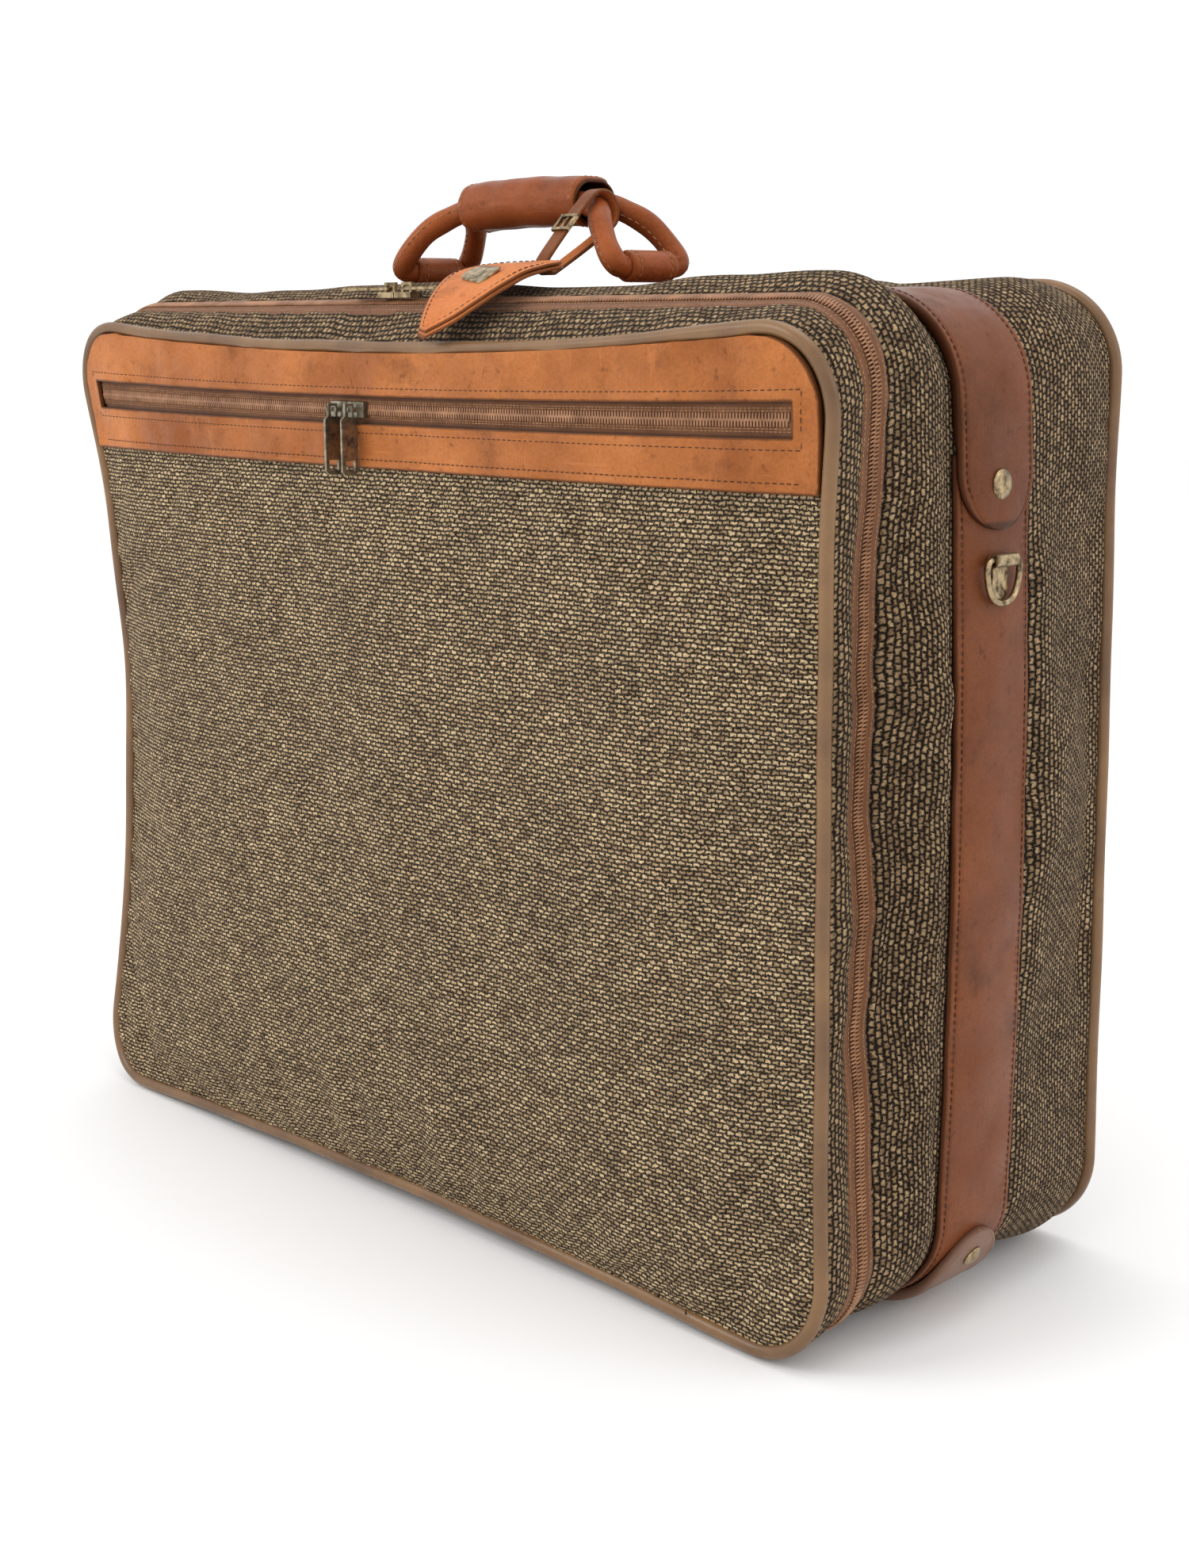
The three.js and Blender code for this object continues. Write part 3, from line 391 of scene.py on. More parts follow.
class Finish:
    """A node material that is put together a few nodes at a time."""

    def __init__(self, name, **surface):
        self.material = bpy.data.materials.new(name)
        self.material.use_nodes = True
        self.tree = self.material.node_tree
        self.surface = self.tree.nodes["Principled BSDF"]
        self.fill(self.surface, {key.replace("_", " "): value for key, value in surface.items()})

    def fill(self, node, inputs):
        for key, value in inputs.items():
            socket = node.inputs[key]
            if isinstance(value, bpy.types.NodeSocket):
                self.tree.links.new(value, socket)
            else:
                socket.default_value = value

    def node(self, kind, inputs, **settings):
        node = self.tree.nodes.new("ShaderNode" + kind)
        for key, value in settings.items():
            setattr(node, key, value)
        self.fill(node, inputs)
        return node

    def place(self, source="Object"):
        """Coordinates in millimetres: Object is the row frame, UV the piece's own sheet."""
        start = self.node("TexCoord", {}).outputs[source]
        scale = (1000, 1000, 1000) if source == "Object" else (1, 1, 1)
        return self.node("Mapping", {"Vector": start, "Scale": scale}).outputs[0]

    def maths(self, operation, a, b=0.0, clamp=False):
        return self.node("Math", {0: a, 1: b}, operation=operation, use_clamp=clamp).outputs[0]

    def noise(self, at, size, detail=3.0, rough=0.55, squash=(1, 1, 1)):
        moved = self.node("Mapping", {"Vector": at, "Scale": tuple(q / size for q in squash)}).outputs[0]
        made = self.node("TexNoise", {"Vector": moved, "Scale": 1.0, "Detail": detail, "Roughness": rough})
        return made.outputs["Fac"]

    def ramp(self, value, *stops):
        node = self.node("ValToRGB", {"Fac": value})
        elements = node.color_ramp.elements
        while len(elements) < len(stops):
            elements.new(0.5)
        for element, (position, colour) in zip(elements, stops):
            element.position = position
            element.color = colour if isinstance(colour, tuple) else (colour, colour, colour, 1)
        return node.outputs["Color"]

    def mix(self, share, a, b, kind="MIX"):
        node = self.node("Mix", {"Factor": share, 6: a, 7: b}, data_type="RGBA", blend_type=kind)
        return node.outputs[2]

    def bump(self, height, distance, strength=1.0, under=None):
        inputs = {"Height": height, "Distance": distance / 1000, "Strength": strength}
        if under is not None:
            inputs["Normal"] = under
        return self.node("Bump", inputs).outputs[0]

    def worn(self):
        """1 along a piece's edges, from the attribute that its mesh carries."""
        return self.node("Attribute", {}, attribute_name="edge").outputs["Fac"]


def tweed(name, width, height, tone_and_painted_shade):
    """Basket-like tweed: staggered pale nubs over a dark ground, on the piece's own sheet. The last colour is
    multiplied over it: a faint warm tone on the front copy, and painted shade on the side copy.
    """
    f = Finish(name, Roughness=0.95, Sheen_Weight=0.04, Specular_IOR_Level=0.12)
    sheet = f.place("UV")
    wobble = f.node("TexNoise", {"Vector": sheet, "Scale": 0.42, "Detail": 4.0}).outputs["Color"]
    shifted = f.node("VectorMath", {0: wobble, 1: (0.5, 0.5, 0.5)}, operation="SUBTRACT").outputs[0]
    scaled = f.node("VectorMath", {0: shifted, "Scale": 3.0}, operation="SCALE").outputs[0]
    at = f.node("VectorMath", {0: sheet, 1: scaled}, operation="ADD").outputs[0]
    brick = f.node("TexBrick", {
        "Vector": at, "Color1": rgb(218, 200, 168), "Color2": rgb(146, 126, 102), "Mortar": rgb(34, 26, 20),
        "Scale": 1.0, "Mortar Size": 0.34 * height, "Mortar Smooth": 0.9, "Bias": -0.1, "Brick Width": width,
        "Row Height": height,
    }, offset=0.5)
    speckle = f.ramp(f.noise(sheet, 1.3, 2.0), (0.3, 0.55), (0.62, 1.15))
    cloudy = f.ramp(f.noise(sheet, 60, 4.0), (0.3, 0.86), (0.7, 1.08))
    colour = f.mix(1.0, brick.outputs["Color"], speckle, "MULTIPLY")
    colour = f.mix(1.0, colour, cloudy, "MULTIPLY")
    tint = f.ramp(f.noise(sheet, 7, 3.0), (0.35, rgb(255, 250, 240)), (0.65, rgb(242, 234, 218)))
    colour = f.mix(1.0, colour, tint, "MULTIPLY")
    # Multiplies in the last colour: painted shade on the side tweed, where the sides are darker because less
    # light falls on them.
    colour = f.mix(1.0, colour, tone_and_painted_shade, "MULTIPLY")
    relief = f.maths("SUBTRACT", 1.0, brick.outputs["Fac"])
    fuzz = f.maths("MULTIPLY", f.noise(sheet, 0.7, 2.0), 0.5)
    f.fill(f.surface, {"Base Color": colour, "Normal": f.bump(f.maths("ADD", relief, fuzz), 1.3)})
    return f.material


GRAIN = 0.9


def leather(name, pale, deep, dark, rough=0.42):
    """Vegetable-tanned leather: blotches, handling marks, fine grain, dark worn edges."""
    f = Finish(name, Specular_IOR_Level=0.26, Specular_Tint=rgb(255, 208, 160))
    at = f.place()
    colour = f.ramp(f.noise(at, 95, 5.0, 0.6), (0.32, deep), (0.66, pale))
    stain = f.ramp(f.noise(at, 34, 6.0, 0.65), (0.56, 0.0), (0.74, 0.5))
    colour = f.mix(stain, colour, dark)
    fleck = f.ramp(f.noise(at, 5.5, 3.0, 0.6), (0.62, 0.0), (0.74, 0.5))
    colour = f.mix(fleck, colour, dark)
    pores = f.ramp(f.noise(at, 1.6, 3.0), (0.3, 0.84), (0.6, 1.05))
    colour = f.mix(1.0, colour, pores, "MULTIPLY")
    scratch_a = f.ramp(f.noise(at, 9, 2.0, 0.5, (0.12, 1.0, 2.4)), (0.68, 0.0), (0.71, 1.0))
    scratch_b = f.ramp(f.noise(at, 7, 2.0, 0.5, (1.6, 0.9, 0.14)), (0.69, 0.0), (0.72, 1.0))
    scratches = f.maths("MULTIPLY", f.maths("MAXIMUM", scratch_a, scratch_b), 0.35)
    colour = f.mix(scratches, colour, pale)
    edge = f.worn()
    rim = f.ramp(f.maths("ADD", edge, f.maths("MULTIPLY", f.noise(at, 6, 3.0), 0.3)), (0.75, 0.0), (1.1, 0.8))
    colour = f.mix(rim, colour, dark)
    cells = f.node("TexVoronoi", {"Vector": at, "Scale": 1 / GRAIN}, feature="DISTANCE_TO_EDGE")
    grained = f.ramp(cells.outputs["Distance"], (0.0, 0.0), (0.16, 1.0))
    soft = f.bump(f.noise(at, 14, 4.0), 0.8, 0.5)
    fine = f.bump(grained, 0.07, 0.6, soft)
    marks = f.bump(f.maths("SUBTRACT", 1.0, scratches), 0.12, 0.7, fine)
    shine = f.ramp(f.noise(at, 22, 4.0), (0.3, rough - 0.1), (0.7, rough + 0.14))
    f.fill(f.surface, {"Base Color": colour, "Roughness": shine, "Normal": marks})
    return f.material


def metal(name, bright, dull, rough=0.32):
    """Antique plated metal: dull in patches, bright where it is handled, finely scratched."""
    f = Finish(name, Metallic=1.0)
    at = f.place()
    worn = f.noise(at, 5, 5.0, 0.65)
    colour = f.ramp(worn, (0.34, dull), (0.62, bright))
    pits = f.ramp(f.noise(at, 0.9, 3.0), (0.6, 0.0), (0.75, 0.6))
    colour = f.mix(pits, colour, dull)
    shine = f.ramp(worn, (0.3, rough + 0.22), (0.65, rough))
    lines = f.noise(at, 1.2, 2.0, 0.5, (0.15, 3.0, 1.0))
    f.fill(f.surface, {"Base Color": colour, "Roughness": shine, "Normal": f.bump(lines, 0.08, 0.5)})
    return f.material


def moulded(name, pale, deep, rough=0.42, size=60):
    """Vinyl or moulded plastic with scuffs and a faint skin."""
    f = Finish(name, Specular_IOR_Level=0.45)
    at = f.place()
    colour = f.ramp(f.noise(at, size, 5.0, 0.6), (0.3, deep), (0.68, pale))
    scuff = f.ramp(f.noise(at, 8, 4.0, 0.7), (0.6, 0.0), (0.75, 0.5))
    colour = f.mix(scuff, colour, deep)
    skin = f.bump(f.noise(at, 0.8, 2.0), 0.1, 0.5, f.bump(f.noise(at, 9, 3.0), 0.4, 0.4))
    shine = f.ramp(f.noise(at, 13, 4.0), (0.3, rough - 0.08), (0.7, rough + 0.15))
    f.fill(f.surface, {"Base Color": colour, "Roughness": shine, "Normal": skin})
    return f.material


def woven(name, pale, deep, across=0.9, along=0.9, source="UV", rough=0.8):
    """Plain woven tape or lining: ribs both ways, on the piece's own sheet or in the row frame."""
    f = Finish(name, Roughness=rough, Sheen_Weight=0.15, Specular_IOR_Level=0.3)
    at = f.place(source)
    parts = f.node("SeparateXYZ", {"Vector": at})
    first = f.maths("SINE", f.maths("MULTIPLY", parts.outputs[0], 2 * math.pi / along))
    upright = parts.outputs[1 if source == "UV" else 2]
    second = f.maths("SINE", f.maths("MULTIPLY", upright, 2 * math.pi / across))
    weave = f.maths("ADD", f.maths("MULTIPLY", f.maths("MULTIPLY", first, second), 0.5), 0.5)
    cloudy = f.maths("MULTIPLY", f.noise(at, 9, 4.0), 0.5)
    colour = f.ramp(f.maths("ADD", f.maths("MULTIPLY", weave, 0.6), cloudy), (0.2, deep), (0.8, pale))
    f.fill(f.surface, {"Base Color": colour, "Normal": f.bump(weave, 0.25, 0.8)})
    return f.material


def thread(name, pale, deep):
    f = Finish(name, Roughness=0.75, Specular_IOR_Level=0.25)
    at = f.place()
    colour = f.ramp(f.noise(at, 2.5, 3.0), (0.3, deep), (0.7, pale))
    f.fill(f.surface, {"Base Color": colour, "Normal": f.bump(f.noise(at, 0.5, 2.0), 0.15)})
    return f.material


# The front tweed is the lit copy; the side tweed is the same cloth with painted shade multiplied in for the
# sides, which get less light.
TWEED_FRONT = tweed("tweed_front", 4.6, 2.4, rgb(250, 244, 238))
TWEED_SIDE_PAINTED_SHADE = tweed("tweed_side_painted_shade", 3.9, 2.7, rgb(212, 200, 192))
BAND = leather("band_leather", rgb(186, 114, 62), rgb(134, 74, 36), rgb(68, 36, 18))
STRAP = leather("strap_leather", rgb(118, 64, 36), rgb(90, 46, 26), rgb(46, 22, 13), 0.34)
HANDLE = leather("handle_leather", rgb(152, 78, 40), rgb(106, 50, 25), rgb(48, 22, 12), 0.32)
TAG = leather("tag_leather", rgb(204, 122, 66), rgb(172, 92, 48), rgb(74, 38, 22), 0.45)
BRASS = metal("brass", rgb(190, 168, 130), rgb(74, 60, 44), 0.24)
PEWTER = metal("pewter", rgb(168, 160, 142), rgb(86, 80, 68))
PIPING = moulded("piping_vinyl", rgb(130, 96, 60), rgb(92, 64, 40), 0.32)
SKID = moulded("skid_plastic", rgb(146, 110, 88), rgb(110, 78, 60), 0.45)
HOOP = moulded("hoop_plastic", rgb(70, 62, 56), rgb(44, 40, 36), 0.5)
BOARD = moulded("fibre_board", rgb(124, 98, 68), rgb(92, 70, 48), 0.8, 20)
TAPE = woven("zip_tape", rgb(132, 84, 52), rgb(70, 42, 26), 1.1, 1.3)
COIL = moulded("zip_coil", rgb(176, 128, 92), rgb(122, 82, 54), 0.35, 12)
LINING = woven("lining_cloth", rgb(196, 180, 148), rgb(160, 142, 112), 0.7, 0.7, "Object", 0.7)
DARK_THREAD = thread("dark_thread", rgb(92, 60, 38), rgb(48, 30, 20))
PALE_THREAD = thread("pale_thread", rgb(178, 134, 92), rgb(120, 82, 52))


# ---------------------------------------------------------------- cloth of the body and lid
LOOP_STEPS = 640
loop = np.arange(LOOP_STEPS) * ROUND / LOOP_STEPS


def on_sides(s):
    """1 in the middle of the left and right sides of the loop, 0 along the top and bottom."""
    part = np.mod(s, 2 * QUARTER)
    return smooth(SIDE + ARC / 2, SIDE * 0.3, np.minimum(part, 2 * QUARTER - part))


def zip_line(s):
    """Depth of the zip's line: it wanders down the sides and runs straight along the top and bottom."""
    return ZIP_Y + on_sides(s) * (2.4 * loop_waves(s, 0 * s, 150, 5) + 1.0 * loop_waves(s, 0 * s, 52, 6))


def zip_out(s):
    """Height of the zip out of the cloth line: it sinks into the fold down the sides."""
    return -4.2 * on_sides(s)


def puckers(s, far, pitch, depth, seed):
    """Small gathers beside a seam, at a distance far from it."""
    phase = s / ROUND * round(ROUND / pitch) * 2 * math.pi + 1.5 * loop_waves(s, 0 * s, 90, seed)
    return depth * np.sin(phase) * np.exp(-far / 7.0)


def body_cloth():
    share = np.linspace(0, 1, 64)[None, :]
    s = loop[:, None]
    front = zip_line(s) + 7.9
    back = BACK_Y - PIPING_RADIUS + 0.6
    y = front + (back - front) * share
    far_front = y - front
    far_back = back - y
    under_strap = smooth(STRAP_HALF + 9, STRAP_HALF + 1, np.abs(y - STRAP_Y))
    hump = np.sin(np.clip(far_front / 42, 0, 1) * math.pi) ** 0.8 * 6.6
    hump += np.sin(np.clip(far_back / 76, 0, 1) * math.pi) ** 0.8 * 4.5
    hump *= 0.75 + 0.45 * on_sides(s) + 0.3 * loop_waves(s, y, 170, 11)
    folds = on_sides(s) * (3.0 * loop_waves(s, y, 60, 12, 0.35) + 0.5 * loop_waves(s, y, 34, 13))
    folds += 0.9 * loop_waves(s, y, 80, 14)
    seam = smooth(0, 9, far_front) * smooth(0, 9, far_back)
    out = (hump + folds * seam) * (1 - under_strap)
    out = out + puckers(s, far_front, 31, 0.4, 15) * (1 - under_strap) + puckers(s, far_back, 37, 0.35, 16)
    sunk = zip_out(s) * np.exp(-far_front / 9)
    out = np.where(under_strap > 0.5, np.minimum(out, 0.2), out) + sunk
    return sheet_ring("body_cloth", loop, y, out, 3.0)


def lid_cloth():
    share = np.linspace(0, 1, 20)[None, :]
    s = loop[:, None]
    front = FRONT_Y + PIPING_RADIUS - 0.6
    back = zip_line(s) - 7.8
    y = front + (back - front) * share
    far_front, far_back = y - front, back - y
    bulge = np.sin(share * math.pi) ** 0.8 * (2.0 + 2.2 * on_sides(s) + 0.9 * loop_waves(s, y, 90, 21))
    creases = 0.45 * loop_waves(s, y * 0.5, 38, 22) * np.sin(share * math.pi)
    gathers = puckers(s, far_front, 33, 0.3, 23) + puckers(s, far_back, 29, 0.3, 24)
    out = bulge + creases + gathers + zip_out(s) * np.exp(-far_back / 8)
    return sheet_ring("lid_cloth", loop, y, out, 2.4)


finish_piece(body_cloth(), "case", "tweed", TWEED_SIDE_PAINTED_SHADE, "body_gusset")
finish_piece(lid_cloth(), "lid", "tweed", TWEED_SIDE_PAINTED_SHADE, "lid_gusset")


def panel_rows(plane_y, inset):
    """Heights up a panel, closer together round its corners, and its half-width at each."""
    top = np.interp(plane_y, DEPTHS, TOP_HEIGHTS) - inset
    bottom = np.interp(plane_y, DEPTHS, BOTTOM_HEIGHTS) + inset
    radius = CORNER - inset
    middle, flat = (top + bottom) / 2, (top - bottom) / 2 - radius
    arc = flat + radius * np.sin(np.linspace(0, 1, 15)[1:] * math.pi / 2)
    straight = np.linspace(-flat, flat, 96)
    up = np.concatenate([-arc[::-1], straight, arc])
    past = np.clip(np.abs(up) - flat, 0, radius)
    return middle + up, HALF_WIDTH - inset - radius + np.sqrt(np.maximum(radius**2 - past**2, 0))


def front_cloth_out(x, z, half):
    """How far the lid's cloth stands out of its flat panel."""
    u, w = np.abs(x) / HALF_WIDTH, (z - 215) / 212
    pillow = 6.5 * (1 - u**3.2) * np.clip(1 - np.abs(w) ** 3, 0, 1)
    border = smooth(0, 14, half - np.abs(x)) * smooth(BAND_LOW_Z + 4, BAND_LOW_Z - 14, z) * smooth(8, 24, z)
    slack = 1.6 * waves(x, z, 210, 31) + 0.7 * waves(x, z, 90, 32) + 0.25 * waves(x, z, 38, 33)
    gathers = 0.5 * np.sin(z / 22 * 2 * math.pi + waves(z, x * 0, 70, 34)) * np.exp(-(half - np.abs(x)) / 12)
    return (pillow + slack) * border + gathers * smooth(BAND_LOW_Z + 4, BAND_LOW_Z - 14, z)


def panel_object(name, z, half, spread, thick, facing=(0, -1, 0), columns=150):
    """A cloth panel over rows of heights; spread(x, z, half) gives its outer points."""
    across = np.sin(np.linspace(-1, 1, columns) * math.pi / 2 * 0.9) / math.sin(math.pi / 2 * 0.9)
    x = across[None, :] * half[:, None]
    z_grid = np.broadcast_to(z[:, None], x.shape)
    outer = spread(x, z_grid, half[:, None])
    uv = np.stack([x, z_grid], -1)
    faces, corners = grid_faces(*x.shape, False, False)
    uvs = uv[corners[..., 0], corners[..., 1]]
    made = mesh_object(name, outer.reshape(-1, 3), faces.tolist(), uvs, None, facing)
    solid = made.modifiers.new("thickness", "SOLIDIFY")
    solid.thickness = thick / 1000
    solid.offset = -1
    return made


def apply_modifiers(piece):
    """Turns a piece's modifiers into its own mesh."""
    graph = bpy.context.evaluated_depsgraph_get()
    piece.data = bpy.data.meshes.new_from_object(piece.evaluated_get(graph))
    piece.modifiers.clear()


def simulate(panel, held, cap):
    """Lets air and slack shape a cloth panel: held vertices stay, and each moves no further than its cap."""
    start = np.array([v.co for v in panel.data.vertices])
    group = panel.vertex_groups.new(name="held")
    for index in np.nonzero(held)[0]:
        group.add([int(index)], 1.0, "REPLACE")
    cloth = panel.modifiers.new("cloth", "CLOTH")
    settings = cloth.settings
    settings.quality = 5
    settings.mass = 0.35
    settings.tension_stiffness = 18
    settings.compression_stiffness = 18
    settings.bending_stiffness = 1.2
    settings.use_pressure = True
    settings.uniform_pressure_force = 3.0
    settings.shrink_min = -0.012
    settings.vertex_group_mass = "held"
    settings.effector_weights.gravity = 0
    cloth.collision_settings.use_self_collision = False
    cloth.point_cache.frame_start, cloth.point_cache.frame_end = 1, 20
    for step in range(1, 21):
        bpy.context.scene.frame_set(step)
    graph = bpy.context.evaluated_depsgraph_get()
    moved = np.array([v.co for v in panel.evaluated_get(graph).data.vertices])
    panel.modifiers.remove(cloth)
    bpy.context.scene.frame_set(1)
    shift = moved - start
    far = np.linalg.norm(shift, axis=1)[:, None]
    shift *= np.minimum(1, cap[:, None] / 1000 / np.maximum(far, 1e-9))
    panel.data.vertices.foreach_set("co", (start + shift).astype(np.float32).ravel())
    panel.data.update()


def front_panel():
    z, half = panel_rows(FRONT_Y - 1, 3.0)
    keep = z < BAND_LOW_Z + 16
    z, half = z[keep], half[keep]

    def spread(x, z_grid, half_grid):
        return on_front(x, z_grid, front_cloth_out(x, z_grid, half_grid))

    panel = panel_object("front_cloth", z, half, spread, 0.1)
    panel.modifiers.clear()
    points = np.array([v.co for v in panel.data.vertices]) * 1000
    rows, columns = len(z), 150
    held = np.zeros((rows, columns), bool)
    held[0, :] = held[:, 0] = held[:, -1] = True
    held[z > BAND_LOW_Z - 3, :] = True
    x, height = points[:, 0], points[:, 2]
    to_rim = np.minimum(np.repeat(half, columns) - np.abs(x), height - 6)
    simulate(panel, held.ravel() | (height < 6), 6.0 * smooth(1, 26, to_rim))
    solid = panel.modifiers.new("thickness", "SOLIDIFY")
    solid.thickness, solid.offset = 0.003, -1
    apply_modifiers(panel)
    return panel


finish_piece(front_panel(), "lid", "tweed", TWEED_FRONT, "lid_panel")


def rear_panel():
    z, half = panel_rows(BACK_Y, 3.0)

    def spread(x, z_grid, half_grid):
        border = smooth(0, 18, half_grid - np.abs(x)) * smooth(8, 30, z_grid) * smooth(522, 498, z_grid)
        out = (1.6 + 0.8 * waves(x, z_grid, 160, 41) + 0.3 * waves(x, z_grid, 60, 42)) * border
        return np.stack([x, BACK_Y - 0.4 + out, z_grid], -1)

    return panel_object("rear_cloth", z, half, spread, 2.6, facing=(0, 1, 0))


finish_piece(rear_panel(), "case", "tweed", TWEED_FRONT, "rear_panel")

# The cloth along the bottom edge that hinges the lid: a fixed sheet between the case and the lid, attached to
# neither.
web_s = np.linspace(3 * QUARTER - HINGE_HALF + 2, 3 * QUARTER + HINGE_HALF - 2, 120)
web_y = np.linspace(-92, -64, 26)[None, :] + 0 * web_s[:, None]
web_out = 0.25 + 0.3 * waves(web_s[:, None], web_y, 60, 43)
web = sheet_ring("bottom_web", web_s, web_y, web_out, 1.6, wrap=False)
web.data.materials.append(TWEED_SIDE_PAINTED_SHADE)
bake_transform(web)
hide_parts("hinge_web", "lid_web")

# ---------------------------------------------------------------- piping
for name, depth, body, node in (
    ("front_cord", FRONT_Y, "lid", "lid_piping"),
    ("rear_cord", BACK_Y, "case", "rear_piping"),
):
    sway = 0.5 * loop_waves(loop, 0 * loop, 160, 44)
    line = on_case(loop, depth + sway, 0.5 * loop_waves(loop, 0 * loop, 130, 45))
    finish_piece(tube(name, line, PIPING_RADIUS + 0.1, 14, closed=True), body, "piping_vinyl", PIPING, node)

# ---------------------------------------------------------------- the main zip
ZIP_PITCH = 2.0
ZIP_STITCH = (2.6, 2.1, 0.6)
zip_s = np.arange(-QUARTER + HINGE_HALF, 3 * QUARTER - HINGE_HALF, ZIP_PITCH)
tooth = capsule(3.9, 1.2, 1.7)
for side, body, node in ((1, "case", "main_zip_body"), (-1, "lid", "main_zip_lid")):
    line = zip_line(zip_s)[:, None]
    reach = np.array([0.5, 2.4, 4.2, 6.4, 9.6])[None, :]
    tape_out = zip_out(zip_s)[:, None] + np.array([0.0, 0.1, 0.2, 0.4, 0.3])[None, :]
    tape = sheet_ring(f"zip_tape_{body}", zip_s, line + side * reach, tape_out, 0.9, wrap=False)
    finish_piece(tape, body, "zip_tape", TAPE, node)
    places = np.stack([
        zip_s + side * ZIP_PITCH / 4,
        zip_line(zip_s) + side * 1.35,
        zip_out(zip_s) + 0.95,
        0 * zip_s + math.pi / 2,
    ], 1)
    finish_piece(stamp(f"zip_coil_{body}", tooth, places, on_case), body, "zip_tape", COIL)
    for reach_out, label in ((3.9, "inner"), (6.9, "outer")):
        row = on_case(zip_s, zip_line(zip_s) + side * reach_out, zip_out(zip_s) + 0.35)
        sew(f"zip_seam_{body}_{label}", row, body, "zip_tape", PALE_THREAD, ZIP_STITCH)

# ---------------------------------------------------------------- the pocket band and its zip
BAND_OUT = 3.2
MARGIN_STEPS = 8
SLOT_STEPS = 240


def band_surface(x, z):
    return BAND_OUT + 0.7 * waves(x, z, 75, 51) + 0.3 * waves(x, z * 2, 28, 52)


def pocket_band():
    z_all, half_all = panel_rows(FRONT_Y - 1, 3.4)
    rows = np.concatenate([
        np.linspace(BAND_LOW_Z, SLOT_LOW_Z, 16),
        np.linspace(SLOT_HIGH_Z, z_all[-1], 22),
    ])
    half = np.interp(rows, z_all, half_all)
    inner = np.minimum(SLOT_HALF, half - 8)
    share = np.arange(MARGIN_STEPS) / MARGIN_STEPS
    left = -half[:, None] + (half - inner)[:, None] * share
    middle = inner[:, None] * np.linspace(-1, 1, SLOT_STEPS + 1)
    x = np.concatenate([left, middle, -left[:, ::-1]], 1)
    z = np.broadcast_to(rows[:, None], x.shape)
    beside = np.maximum(np.abs(x) - inner[:, None], 0)
    above = np.maximum(np.maximum(z - SLOT_HIGH_Z, SLOT_LOW_Z - z), 0)
    to_slot = np.hypot(beside, above)
    lip = 1.3 * np.exp(-((to_slot - 1.5) / 3.2) ** 2)
    seam = -0.5 * np.exp(-((z - BAND_LOW_Z - 5) / 1.6) ** 2)
    points = on_front(x, z, band_surface(x, z) + lip + seam - smooth(2.2, 0, z - BAND_LOW_Z))
    faces, corners = grid_faces(*x.shape, False, False)
    columns = corners[:, 0, 1]
    slot_row = corners[:, 0, 0] == 15
    inside = slot_row & (columns >= MARGIN_STEPS) & (columns < MARGIN_STEPS + SLOT_STEPS)
    from_edge = np.minimum(z - BAND_LOW_Z, np.minimum(half[:, None] - np.abs(x), to_slot + 0 * x))
    edge = smooth(3.2, 0.3, from_edge)
    faces = faces[~inside].tolist()
    band = mesh_object("pocket_leather", points.reshape(-1, 3), faces, None, edge.ravel(), (0, -1, 0))
    solid = band.modifiers.new("thickness", "SOLIDIFY")
    solid.thickness, solid.offset = 0.0024, -1
    round_edges = band.modifiers.new("edges", "BEVEL")
    round_edges.width, round_edges.segments, round_edges.angle_limit = 0.0007, 2, math.radians(50)
    apply_modifiers(band)
    return band


finish_piece(pocket_band(), "lid", "band_leather", BAND, "pocket_band")


def band_row(x, z, lift=0.0):
    x, z = np.broadcast_arrays(np.asarray(x, float), np.asarray(z, float))
    return on_front(x, z, band_surface(x, z) + lift)


SEAM_HALF, SEAM_GAP = 302, 5.5
across = np.linspace(-SEAM_HALF, SEAM_HALF, 600)
upright = np.linspace(SLOT_LOW_Z - SEAM_GAP, SLOT_HIGH_Z + SEAM_GAP, 30)
for name, row in (
    ("band_edge_stitch", band_row(across, BAND_LOW_Z + 5, -0.35)),
    ("slot_stitch_low", band_row(across, SLOT_LOW_Z - SEAM_GAP, 0.25)),
    ("slot_stitch_high", band_row(across, SLOT_HIGH_Z + SEAM_GAP, 0.25)),
    ("slot_stitch_left", band_row(-SEAM_HALF, upright, 0.15)),
    ("slot_stitch_right", band_row(SEAM_HALF, upright, 0.15)),
):
    sew(name, row, "lid", "band_leather", DARK_THREAD)

pocket_x = np.linspace(-SLOT_HALF - 1, SLOT_HALF + 1, 300)
SLOT_MID_Z = (SLOT_LOW_Z + SLOT_HIGH_Z) / 2
pocket_z = SLOT_MID_Z + np.array([-10, -6, -3.3, -1.9, 0, 1.9, 3.3, 6, 10])
tape_rise = np.array([0.4, 1.1, 1.2, 1.3, 1.0, 1.3, 1.2, 1.1, 0.4])
grid_x, grid_z = np.meshgrid(pocket_x, pocket_z, indexing="ij")
front = on_front(grid_x, grid_z, tape_rise + 0.15 * waves(grid_x, grid_z, 40, 53))
back = on_front(grid_x, grid_z, tape_rise - 0.7)
tape_points = np.concatenate([front, back[:, ::-1]], 1)
pocket_tape = grid_object("pocket_tape", tape_points, np.append(pocket_x, pocket_x[-1]),
                          np.concatenate([pocket_z, pocket_z[::-1], pocket_z[:1]]), (False, True), caps=True)
finish_piece(pocket_tape, "lid", "zip_tape", TAPE, "pocket_zip")
pocket_teeth = np.arange(-SLOT_HALF + 2, SLOT_HALF - 2, ZIP_PITCH)
